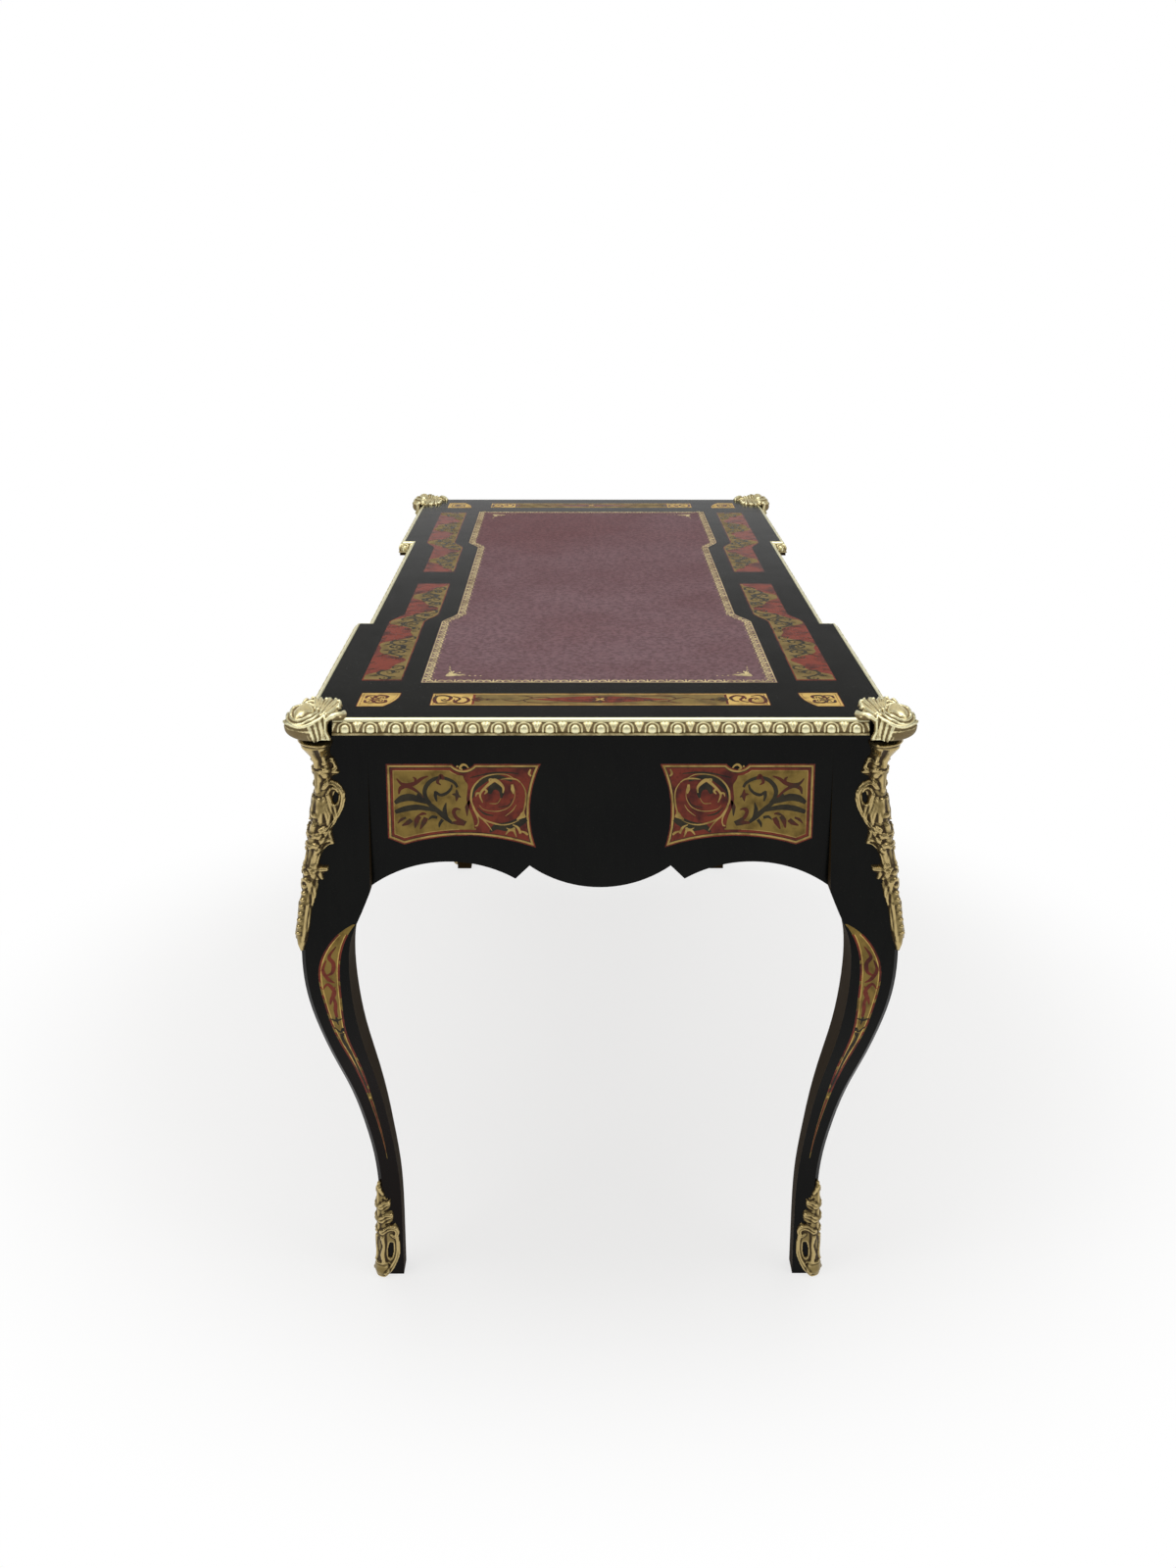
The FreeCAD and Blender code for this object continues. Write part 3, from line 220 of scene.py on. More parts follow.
def black_lacquer(colours):
    """Black ebonised wood under a rubbed gloss: clouded, with faint grain and fine scuffs.

    The faces that look inward were only stained, and are brown and dull.
    """
    finish = Finish("black_lacquer", specular_ior_level=0.10)
    where = finish.place()
    cloud = finish.noise(where, 7.0, 4.0, 0.6)
    grain = finish.noise(finish.place((0.25, 1.0, 0.25)), 90.0, 4.0, 0.6)
    scuff = finish.noise(where, 420.0, 2.0).between(0.62, 0.75)
    tone = finish.mix(cloud.between(0.3, 0.7), colours.lacquer, tinted(colours.lacquer, 1.9, 1.8, 1.5))
    tone = finish.mix(grain.between(0.45, 0.7) * 0.5, tone, tinted(colours.lacquer, 0.4))
    warm = finish.noise(where, 1.7, 2.0).between(0.48, 0.66)
    tone = finish.mix(warm * 0.7, tone, tinted(colours.lacquer, 3.6, 1.2, 0.9))
    inward = finish.inward()
    tone = finish.mix(inward * 0.9, tone, tinted(colours.lacquer, 12.0, 5.6, 1.2))
    finish.set("Base Color", finish.mix(scuff * 0.10, tone, (0.06, 0.055, 0.045)))
    finish.set("Roughness", cloud * 0.12 + 0.09 + grain * 0.08 + scuff * 0.08 + inward * 0.62)
    finish.bump(finish.noise(where, 22.0, 2.0) + grain * 0.15, 0.4 * MM, 0.35)
    return finish.material


def cast_brass(name, colour, dirt_and_shade_share, gloss):
    """Cast and gilded brass: paler on its high parts, a painted highlight with some rubbed wear, and brown
    in its hollows, painted shade with some dirt.

    The castings carry an attribute, hollow, that is below zero on their high parts and drives the painted
    shade and highlight.
    """
    finish = Finish(name)
    where = finish.place()
    hollow = finish.node("ShaderNodeAttribute", {"attribute_name": "hollow"}, None, "Fac")
    worn = finish.noise(where, 70.0, 3.0)
    pitted = finish.noise(where, 330.0, 3.0, 0.65)
    # Painted shade with some dirt darkens the hollows; a painted highlight with some rubbed wear lightens
    # the high parts
    dirt_and_shade = (hollow + worn * 0.5 - 0.25 + pitted * 0.2 - 0.1).between(0.02, 0.42)
    wear_and_highlight = (-hollow + pitted * 0.3 - 0.15).between(0.12, 0.55)
    tone = finish.mix(worn.between(0.35, 0.7) * 0.55, colour, tinted(colour, 0.72, 0.66, 0.52))
    # The painted highlight on the high parts, brighter with gloss
    tone = finish.mix(wear_and_highlight * 0.8, tone, tinted(colour, 1.22 + gloss, 1.24 + gloss, 1.45 + gloss))
    # The painted shade with dirt in the hollows: a dark brown mix
    finish.set("Base Color", finish.mix(dirt_and_shade * dirt_and_shade_share, tone, tinted(colour, 0.17, 0.12, 0.07)))
    finish.set("Metallic", 0.78 + gloss * 0.15 - dirt_and_shade * 0.4)
    finish.set("Roughness", 0.40 - gloss * 0.12 - wear_and_highlight * 0.12 + dirt_and_shade * 0.25 + pitted * 0.08)
    finish.bump(pitted, 0.3 * MM, 0.55)
    return finish.material


def writing_leather(colours):
    """Dyed hide with a fine pebbled grain, rubbed grey here and there."""
    finish = Finish("burgundy_leather", specular_ior_level=0.42)
    where = finish.place()
    pebble = finish.cells(where, 420.0)
    crease = finish.cells(where, 170.0, "DISTANCE_TO_EDGE")
    cloud = finish.noise(where, 4.5, 4.0, 0.62)
    blush = finish.noise(where, 1.9, 2.0).between(0.42, 0.62)
    fine = finish.noise(where, 150.0, 4.0, 0.75)
    speck = finish.noise(where, 230.0, 2.0).between(0.58, 0.7)
    deep = tinted(colours.leather, 0.5, 0.42, 0.44)
    rubbed = tinted(colours.leather, 1.4, 2.0, 2.0)
    tone = finish.mix(cloud.between(0.35, 0.7) * 0.75, rubbed, colours.leather)
    tone = finish.mix(blush * 0.5, tone, tinted(colours.leather, 1.12, 0.8, 0.72))
    tone = finish.mix(speck * 0.3, tone, tinted(colours.leather, 2.2, 3.4, 3.2))
    finish.set("Base Color", finish.mix(fine.between(0.42, 0.6) * 0.75, tone, deep))
    finish.set("Roughness", 0.46 + cloud * 0.14 + fine * 0.06)
    grain = (1.0 - pebble).between(0.3, 0.9) + crease.between(0.0, 0.12) * 0.7
    finish.bump(grain, 0.3 * MM, 0.6)
    return finish.material


def stained_shell(name, colour, dark):
    """Tortoiseshell over a stain, under gloss, with darker mottling."""
    finish = Finish(name, specular_ior_level=0.2)
    where = finish.place()
    blotch = finish.noise(where, 38.0, 3.0, 0.6)
    fleck = finish.noise(where, 210.0, 3.0)
    tone = finish.mix(blotch.between(0.42, 0.7), colour, dark)
    finish.set("Base Color", finish.mix(fleck.between(0.52, 0.75) * 0.5, tone, dark))
    finish.set("Roughness", 0.16 + fleck * 0.12)
    finish.bump(blotch + fleck * 0.3, 0.2 * MM, 0.4)
    return finish.material


def sheet_brass(name, colour, metal):
    """The sawn brass of the marquetry: flat, engraved and a little tarnished."""
    finish = Finish(name, metallic=metal, specular_ior_level=0.2)
    where = finish.place()
    tarnish = finish.noise(where, 48.0, 4.0, 0.6)
    scratch = finish.noise(finish.place((1.0, 12.0, 1.0)), 260.0, 2.0)
    tone = finish.mix(tarnish.between(0.4, 0.72), colour, tinted(colour, 0.45, 0.42, 0.36))
    finish.set("Base Color", finish.mix(scratch.between(0.5, 0.8) * 0.4, tone, tinted(colour, 1.35)))
    finish.set("Roughness", 0.28 + tarnish * 0.18)
    finish.bump(scratch, 0.08 * MM, 0.5)
    return finish.material


def waxed_oak(colours):
    """The plain wood inside: grain that runs along Y, with pores."""
    finish = Finish("waxed_oak", specular_ior_level=0.4)
    where = finish.place((1.0, 0.07, 1.0))
    grain = finish.noise(where, 95.0, 5.0, 0.6)
    ring = (finish.noise(where, 11.0, 2.0) * 60.0).sine() * 0.5 + 0.5
    pore = finish.noise(finish.place((1.0, 0.05, 1.0)), 620.0, 2.0).between(0.6, 0.72)
    dark = tinted(colours.oak, 0.5)
    tone = finish.mix((grain * 0.6 + ring * 0.4).between(0.25, 0.8), dark, colours.oak)
    finish.set("Base Color", finish.mix(pore * 0.6, tone, dark))
    finish.set("Roughness", 0.5 + pore * 0.2)
    finish.bump(grain - pore, 0.25 * MM, 0.5)
    return finish.material


def filed_metal(name, colour):
    """Plain turned or filed metal for the locks and screws."""
    finish = Finish(name, metallic=1.0)
    line = finish.noise(finish.place((1.0, 1.0, 14.0)), 300.0, 3.0)
    dull = finish.noise(finish.place(), 40.0, 3.0)
    finish.set("Base Color", finish.mix(dull * 0.6, colour, tinted(colour, 0.55)))
    finish.set("Roughness", 0.3 + line * 0.2)
    finish.bump(line, 0.1 * MM, 0.5)
    return finish.material


FINISHES = {}


def make_finishes(colours):
    """Makes each finish once, under the name that the pieces ask for."""
    FINISHES.update(
        lacquer=black_lacquer(colours),
        gilt=cast_brass("cast_gilt_brass", tuple(colours.gilt), 0.85, 0.0),
        bronze=cast_brass("aged_gilt_brass", tuple(colours.aged_gilt), 0.97, 0.9),
        leather=writing_leather(colours),
        shell=stained_shell("red_shell", tuple(colours.shell), tinted(colours.shell, 0.3, 0.25, 0.35)),
        umber=stained_shell("umber_horn", tinted(colours.shell, 0.5, 0.55, 0.5), colours.horn),
        horn=stained_shell("dark_horn", tuple(colours.horn), tinted(colours.horn, 0.3)),
        inlay=sheet_brass("marquetry_brass", tuple(colours.inlay), 0.3),
        # Polished brass darkened as painted shade, for the upright end panels
        worn=sheet_brass("worn_marquetry_brass", tinted(colours.bright_inlay, 0.6, 0.6, 0.66), 0.3),
        bright=sheet_brass("polished_marquetry_brass", tuple(colours.bright_inlay), 0.25),
        tooling=sheet_brass("gold_tooling", tuple(colours.tooling), 0.35),
        oak=waxed_oak(colours),
        lock=filed_metal("lock_brass", tuple(colours.bright_inlay)),
        steel=filed_metal("screw_steel", tuple(colours.steel)),
    )


SLOT_FINISHES = {
    "ebonised_wood": "lacquer",
    "gilt_brass": "gilt",
    "desk_leather": "leather",
    "brass_marquetry": "shell",
    "plain_oak": "oak",
    "lock_brass": "lock",
    "screw_steel": "steel",
}


# Meshes


class Stock:
    """The points and faces of one piece while it is made, and how hollow each point is."""

    def __init__(self):
        self.points = []
        self.faces = []
        self.hollows = []

    def add(self, points, faces, hollows=None):
        first = len(self.points)
        self.points.extend(points)
        self.faces.extend([tuple(first + i for i in face) for face in faces])
        self.hollows.extend([0.0] * len(points) if hollows is None else hollows)

    def copies(self, signs):
        """A stock that holds a copy of this one for each pair of signs for X and Y."""
        whole = Stock()
        for sx, sy in signs:
            whole.add([(sx * x, sy * y, z) for x, y, z in self.points], self.faces, self.hollows)
        return whole

    def piece(self, name, finish, slot, body=CARCASS, stands_for=(), smooth=True):
        """Turns the stock into an object that rides on a body."""
        mesh = bpy.data.meshes.new(name)
        mesh.from_pydata(self.points, [], self.faces)
        work = bmesh.new()
        work.from_mesh(mesh)
        bmesh.ops.recalc_face_normals(work, faces=work.faces)
        work.to_mesh(mesh)
        work.free()
        if smooth:
            mesh.shade_smooth()
        mesh.materials.append(FINISHES[finish])
        if any(self.hollows):
            layer = mesh.attributes.new("hollow", "FLOAT", "POINT")
            layer.data.foreach_set("value", self.hollows)
        obj = bpy.data.objects.new(name, mesh)
        bpy.context.scene.collection.objects.link(obj)
        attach(obj, body)
        if stands_for:
            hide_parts(*stands_for)
        return obj


def surface_tree(*nodes):
    """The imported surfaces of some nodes, for finding the points that ornament lies on."""
    stock = Stock()
    for node in nodes:
        mesh = frame["nodes"][node].data
        stock.add([tuple(v.co) for v in mesh.vertices], [tuple(p.vertices) for p in mesh.polygons])
    return BVHTree.FromPolygons(stock.points, stock.faces)


def tube_faces(rings, sides, closed=False):
    """The faces of a tube whose points run ring by ring, with two end caps unless it is closed."""
    faces = []
    for i in range(rings if closed else rings - 1):
        follow = (i + 1) % rings
        for j in range(sides):
            k = (j + 1) % sides
            faces.append((i * sides + j, i * sides + k, follow * sides + k, follow * sides + j))
    if not closed:
        faces += [tuple(range(sides)), tuple(range((rings - 1) * sides, rings * sides))]
    return faces


# Strokes: the lines that marquetry and carving are drawn with, in millimetres

Stroke = namedtuple("Stroke", "points widths height profile", defaults=(1.0, "round"))
LEAF_SHARES = (0.25, 0.6, 0.88, 1.0, 0.98, 0.88, 0.72, 0.5, 0.28, 0.06)


def bent(points, widths, height=1.0, profile="round", steps=5):
    """A stroke on a smooth line through the points; the widths are spread along it."""
    widths = widths if isinstance(widths, tuple) else (widths, widths)
    last = len(points) - 1
    line = []
    for i in range(last):
        around = [points[min(max(k, 0), last)] for k in range(i - 1, i + 3)]
        for k in range(steps):
            t = k / steps
            shares = (
                (-t + 2 * t * t - t**3) / 2,
                (2 - 5 * t * t + 3 * t**3) / 2,
                (t + 4 * t * t - 3 * t**3) / 2,
                (-t * t + t**3) / 2,
            )
            line.append(tuple(sum(s * p[axis] for s, p in zip(shares, around)) for axis in (0, 1)))
    line.append(tuple(points[last]))
    spread = np.interp(np.linspace(0, 1, len(line)), np.linspace(0, 1, len(widths)), widths)
    return Stroke(line, spread.tolist(), height, profile)


def curl(start, heading, radius, turn, shrink, steps):
    """Points from start along heading on a line that turns by turn, its radius shrinking."""
    x, y = start
    points = [(x, y)]
    share = turn / steps
    angle = heading + share / 2
    for i in range(steps):
        length = radius * shrink ** (i / steps) * abs(share)
        x += length * math.cos(angle)
        y += length * math.sin(angle)
        angle += share
        points.append((x, y))
    return points


def run_lengths(points):
    """How far along its line each of an array of points lies."""
    return np.concatenate([[0], np.cumsum(np.hypot(*np.diff(points, axis=0).T))])


def ellipse(centre, half_x, half_y, steps=28):
    """Points round an ellipse, without the first again at the end."""
    angles = [2 * math.pi * i / steps for i in range(steps)]
    return [(centre[0] + half_x * math.cos(a), centre[1] + half_y * math.sin(a)) for a in angles]


def heading_at(points, i):
    a = points[max(i - 1, 0)]
    b = points[min(i + 1, len(points) - 1)]
    return math.atan2(b[1] - a[1], b[0] - a[0])


def leaf(start, heading, length, bend, width, height=1.0, profile="round"):
    """A pointed leaf that bends by bend along its length."""
    bend = bend if abs(bend) > 0.01 else 0.01
    points = curl(start, heading, length / abs(bend), bend, 1.0, 9)
    return Stroke(points, [width * w for w in LEAF_SHARES], height, profile)


def dot(centre, radius, height=1.0, profile="round"):
    return Stroke([centre, (centre[0] + 0.01, centre[1])], [radius, radius], height, profile)


def star(centre, reach, width, points=4, turn=0.0):
    """Thin leaves that spring from one point."""
    step = 2 * math.pi / points
    return [leaf(centre, turn + step * k, reach, 0.05, width) for k in range(points)]


def volute(start, heading, radius, hand, width, turn, shrink=0.16, leaves=3):
    """A scroll that winds up into a ball, with leaves springing from its outer side."""
    points = curl(start, heading, radius, hand * turn * math.pi, shrink, 26)
    widths = np.linspace(width, 0.45 * width, len(points)).tolist()
    strokes = [Stroke(points, widths), dot(points[-1], 0.9 * width)]
    for k in range(leaves):
        i = int(len(points) * (0.08 + 0.17 * k))
        out = heading_at(points, i) - hand * 0.75
        size = radius * (0.85 - 0.17 * k)
        strokes.append(leaf(points[i], out, size, -hand * 1.1, 0.9 * width))
        strokes.append(leaf(points[i], out + hand * 0.5, 0.6 * size, hand * 0.9, 0.7 * width))
    return strokes


def redrawn(strokes, place, share=1.0):
    """Copies of strokes with each point put through place and each width scaled by share."""
    return [
        k._replace(points=[place(x, y) for x, y in k.points], widths=[w * share for w in k.widths])
        for k in strokes
    ]


def moved(strokes, origin=(0.0, 0.0), angle=0.0, scale=1.0, flip=False):
    """Copies of strokes, flipped about their own X axis, turned, scaled and moved."""
    c, s = math.cos(angle), math.sin(angle)
    sign = -1 if flip else 1

    def place(x, y):
        x, y = x * scale, y * scale * sign
        return (origin[0] + c * x - s * y, origin[1] + s * x + c * y)

    return redrawn(strokes, place, scale)


def mirrored(strokes):
    """Strokes and their copies on the other side of the line x = 0."""
    return strokes + redrawn(strokes, lambda x, y: (-x, y))


def wider(strokes, share):
    return redrawn(strokes, lambda x, y: (x, y), share)


def within(u, v, polygon):
    """Which points lie in a polygon, and how far each lies from its outline."""
    inside = np.zeros(u.shape, bool)
    away = np.full(u.shape, np.inf)
    for (x0, y0), (x1, y1) in zip(polygon, polygon[1:] + polygon[:1]):
        crosses = (y0 > v) != (y1 > v)
        if y0 != y1:
            inside ^= crosses & (u < x0 + (x1 - x0) * (v - y0) / (y1 - y0))
        dx, dy = x1 - x0, y1 - y0
        share = np.clip(((u - x0) * dx + (v - y0) * dy) / (dx * dx + dy * dy), 0, 1)
        away = np.minimum(away, np.hypot(u - x0 - share * dx, v - y0 - share * dy))
    return inside, away


def clipped(strokes, loop):
    """Strokes cut off where they leave a loop."""
    kept = []
    for stroke in strokes:
        inside = within(*np.array(stroke.points).T, loop)[0]
        run = []
        for i, held in enumerate([*inside, False]):
            if held:
                run.append(i)
                continue
            if len(run) > 1:
                points, widths = ([values[k] for k in run] for values in (stroke.points, stroke.widths))
                kept.append(stroke._replace(points=points, widths=widths))
            run = []
    return kept


# Flat work: marquetry and tooling

# Strokes are laid by turns at seven heights, in millimetres, so that two that cross share no plane
LAYER, LAYERS = 0.004, 7
# Where the rays start that find the surface to lie on, in metres
FAR_OUTSIDE = 2.0


def plane(origin, across, up):
    """Places local millimetres on a plane; across x up points out of it."""
    normal = across.cross(up)

    def place(x, y, lift):
        return tuple(origin + (across * x + up * y + normal * lift) * MM)

    return place


def on_surface(tree, outward, across, up=Z):
    """Places local millimetres on the surface that is met from outside, against outward."""

    def place(x, y, lift):
        start = (across * x + up * y) * MM + outward * FAR_OUTSIDE
        point = tree.ray_cast(start, -outward)[0]
        if point is None:
            raise ValueError(f"no surface at {x:.1f}, {y:.1f}")
        return tuple(point + outward * (lift * MM))

    return place


def prism(stock, sides, place, lift, closed=False):
    """A flat strip through pairs of points, one on each of its sides."""
    points = []
    for (x0, y0), (x1, y1) in sides:
        points += [place(x0, y0, -lift), place(x0, y0, lift), place(x1, y1, lift), place(x1, y1, -lift)]
    stock.add(points, tube_faces(len(sides), 4, closed))


def inlay(stock, strokes, place, lift):
    """Lays strokes flat, each a little over the last: those of two points as discs, the others as strips."""
    for i, stroke in enumerate(strokes):
        level = lift + LAYER * (i % LAYERS)
        if len(stroke.points) == 2:
            filled(stock, ellipse(stroke.points[0], *stroke.widths, steps=12), place, level)
            continue
        sides = []
        for k, ((x, y), width) in enumerate(zip(stroke.points, stroke.widths)):
            angle = heading_at(stroke.points, k) + math.pi / 2
            dx, dy = math.cos(angle) * width, math.sin(angle) * width
            sides.append(((x + dx, y + dy), (x - dx, y - dy)))
        prism(stock, sides, place, level)


def twice_area(loop):
    return sum(a[0] * b[1] - b[0] * a[1] for a, b in zip(loop, loop[1:] + loop[:1]))


def filled(stock, polygon, place, lift):
    """A closed flat plate inside a polygon."""
    count = len(polygon)
    points = [place(x, y, -lift) for x, y in polygon] + [place(x, y, lift) for x, y in polygon]
    faces = []
    for triangle in tessellate_polygon([[Vector((x, y, 0)) for x, y in polygon]]):
        faces.append(tuple(count + i for i in triangle))
        faces.append(tuple(reversed(triangle)))
    for i in range(count):
        j = (i + 1) % count
        faces.append((i, j, count + j, count + i))
    stock.add(points, faces)


def band(stock, loop, near, far, place, lift):
    """A closed flat frame between two distances inside a loop."""
    sharp = cornered(loop)
    outer, inner = inset(sharp, near), inset(sharp, far)
    prism(stock, list(zip(inner, outer)), place, lift, closed=True)


def inset(loop, distance):
    """A loop that runs anticlockwise, drawn in by a distance, its corners mitred."""
    count = len(loop)
    points = []
    for i in range(count):
        a, b, c = (Vector(loop[k % count]) for k in (i - 1, i, i + 1))
        before, after = (b - a).normalized(), (c - b).normalized()
        left = Vector((-before.y, before.x))
        middle = left + Vector((-after.y, after.x))
        middle = middle.normalized() if middle.length > 0.3 else left
        points.append(tuple(b + middle * (distance / max(0.4, middle.dot(left)))))
    return points


def cornered(loop):
    """A loop without the points that lie straight between their neighbours."""
    kept = []
    for i, (x, y) in enumerate(loop):
        (x0, y0), (x1, y1) = loop[i - 1], loop[(i + 1) % len(loop)]
        if abs((x - x0) * (y1 - y) - (y - y0) * (x1 - x)) > 1e-3:
            kept.append((x, y))
    return kept


def evened(loop, pitch):
    """A loop with points at an even pitch, its corners kept."""
    points = []
    for a, b in zip(loop, loop[1:] + loop[:1]):
        a, b = Vector(a), Vector(b)
        steps = max(1, round((b - a).length / pitch))
        points += [tuple(a.lerp(b, k / steps)) for k in range(steps)]
    return points


def drawn_in(loop, distance):
    """A loop drawn in by a distance, with points at an even pitch."""
    return evened(inset(cornered(loop), distance), 3.0)


def face_outlines(node, outward, across, up, pitch=3.0):
    """The outlines of a node's faces that look outward, in local millimetres, anticlockwise."""
    mesh = frame["nodes"][node].data
    key = [tuple(round(c, 6) for c in v.co) for v in mesh.vertices]
    edges = {}
    for polygon in mesh.polygons:
        if polygon.normal.dot(outward) < 0.6:
            continue
        corners = [key[i] for i in polygon.vertices]
        for a, b in zip(corners, corners[1:] + corners[:1]):
            if (b, a) in edges:
                del edges[(b, a)]
            else:
                edges[(a, b)] = b
    follow = {a: b for a, b in edges}
    loops = []
    while follow:
        start = next(iter(follow))
        loop, here = [start], follow.pop(start)
        while here != start and here in follow:
            loop.append(here)
            here = follow.pop(here)
        flat = [(Vector(p).dot(across) / MM, Vector(p).dot(up) / MM) for p in loop]
        if len(flat) > 3:
            loops.append(evened(flat if twice_area(flat) > 0 else flat[::-1], pitch))
    return loops


def extent(loop):
    """The least and most x of a loop, then the least and most y."""
    xs, ys = zip(*loop)
    return min(xs), max(xs), min(ys), max(ys)


def middle_of(loop):
    left, right, foot, top = extent(loop)
    return ((left + right) / 2, (foot + top) / 2)


def nearest_outline(loops, *spot):
    """The outline whose middle is nearest to a point."""
    return min(loops, key=lambda loop: math.dist(middle_of(loop), spot))


def from_widest_gap(points):
    """A ring of points that starts just after its widest gap, and so ends just before it."""
    start = max(range(len(points)), key=lambda i: math.dist(points[i], points[i - 1]))
    return points[start:] + points[:start]


class Marquetry:
    """One inlaid surface: a stock for each finish, laid with the same placing."""

    def __init__(self, place):
        self.place = place
        self.stocks = {}

    def stock(self, finish):
        return self.stocks.setdefault(finish, Stock())

    def lay(self, finish, strokes, lift=0.10, inside=None, **move):
        strokes = moved(strokes, **move) if move else strokes
        strokes = strokes if inside is None else clipped(strokes, inside)
        inlay(self.stock(finish), strokes, self.place, lift)

    def plate(self, finish, polygon, lift=0.05):
        filled(self.stock(finish), polygon, self.place, lift)

    def frame(self, loop, *bands):
        """Bands of (finish, near, far) round the edge of a loop."""
        for finish, near, far in bands:
            band(self.stock(finish), loop, near, far, self.place, 0.08)

    def settle(self, name, signs=AS_DRAWN, body=CARCASS, slot="brass_marquetry"):
        """Turns the stocks into pieces, with a copy for each pair of signs."""
        for finish, stock in self.stocks.items():
            stock.copies(signs).piece(f"{name}_{finish}", finish, slot, body, smooth=False)


# Marquetry of the ends, the back and the drawers

# Spots near the middles of the panels
END_PANEL = (160, 671)
LONG_PANELS = {"left": (-502, 685), "centre": (0, 712), "right": (502, 685)}


def end_panel_brasswork():
    """The scrolls on the brass half of an end panel by finish, from its middle, outward and up."""
    stems = [
        bent([(7.5, 23.5), (10.5, 29), (18, 33.5), (26.5, 35.5), (36, 33), (43, 26.5), (46, 18.5),
              (44.5, 10), (40, 3.5)], (1.3, 1.8, 2.2, 1.9)),
        bent([(14, 27), (15, 22), (20, 16.5), (27.5, 14), (34, 18.5)], (0.7, 1.4, 1.7, 1.2)),
        bent([(32.5, 18.5), (33.5, 12.5), (32, 6)], (2.2, 1.6, 0.7)),
        bent([(14, -22), (21, -15.5), (30, -7), (39.5, 1.5), (47.5, 9.5), (55, 15)],
             (1, 2.7, 2.4, 1.8, 1.2)),
        bent([(41.5, 3.5), (51, 7.5), (62.5, 11), (73, 9.5), (81.5, 4)], (1, 2.8, 3.8, 3.6, 1.7)),
        bent([(30, -7), (43.5, -3), (56.5, -1.5), (70, -3.5), (81.5, -7.5)], (1, 2.3, 3.0, 3.0, 2)),
        bent([(21, -14.5), (23, -5), (21, 4.5)], (1.7, 2.2, 0.3)),
        bent([(25.5, -17), (29, -22), (30, -27)], (1.7, 1.5, 0.3)),
        bent([(32, -14.5), (38, -13.5), (42.5, -17.5)], (1.5, 1.5, 0.3)),
    ]
    red = [
        bent([(41.5, 37.5), (49, 34.5), (56.5, 29), (64.5, 26.5), (73, 28), (78.5, 34.5)],
             (0.5, 1.7, 2.1, 1.7, 0.5)),
        bent([(56.5, 29.5), (56.5, 34), (59.5, 36.5)], (1.4, 1.2, 0.3)),
        bent([(47.5, 11), (55, 18.5), (62.5, 23.5), (68.5, 25), (74.5, 22), (76.5, 15)],
             (0.7, 1.4, 1.8, 2.1, 0.5)),
        bent([(23.5, 33.5), (26.5, 38), (30, 33.5)], (1.4, 2, 0.8)),
        bent([(30, 33.5), (30.5, 29.5), (26.5, 26.5)], (1.5, 1.4, 0.3)),
        bent([(-1.5, -22), (3.5, -19), (9.5, -14.5), (12.5, -7.5), (9.5, -3.5), (4, -4.5)],
             (2.4, 2, 1.7, 1.9, 0.3)),
        bent([(0, -22), (7.5, -21), (16, -21)], (2.4, 2.4, 0.7)),
        bent([(44.5, -10), (49, -9.5), (55, -12)], (0.5, 1.5, 0.5)),
        bent([(45, -14.5), (48, -20.5), (52.5, -29)], (2.2, 2.5, 0.5)),
        bent([(53, -12.5), (56.5, -18.5), (58.5, -27.5)], (2.2, 2.5, 0.5)),
        bent([(62.5, -17), (67, -21), (74, -24.5)], (2.2, 2.3, 0.5)),
        bent([(69, -14.5), (74.5, -17), (79, -22)], (1, 1.4, 0.3)),
        bent([(8.5, 21), (8, 13.5), (9, 6)], (0.3, 2.2, 0.3)),
        bent([(3.5, 11), (8.5, 14), (14, 15)], (0.3, 1.9, 0.3)),
        bent([(-6.5, 7), (-3.5, -1.5), (-3.5, -12.5)], (0.8, 2, 0.3)),
    ]
    return stems, red


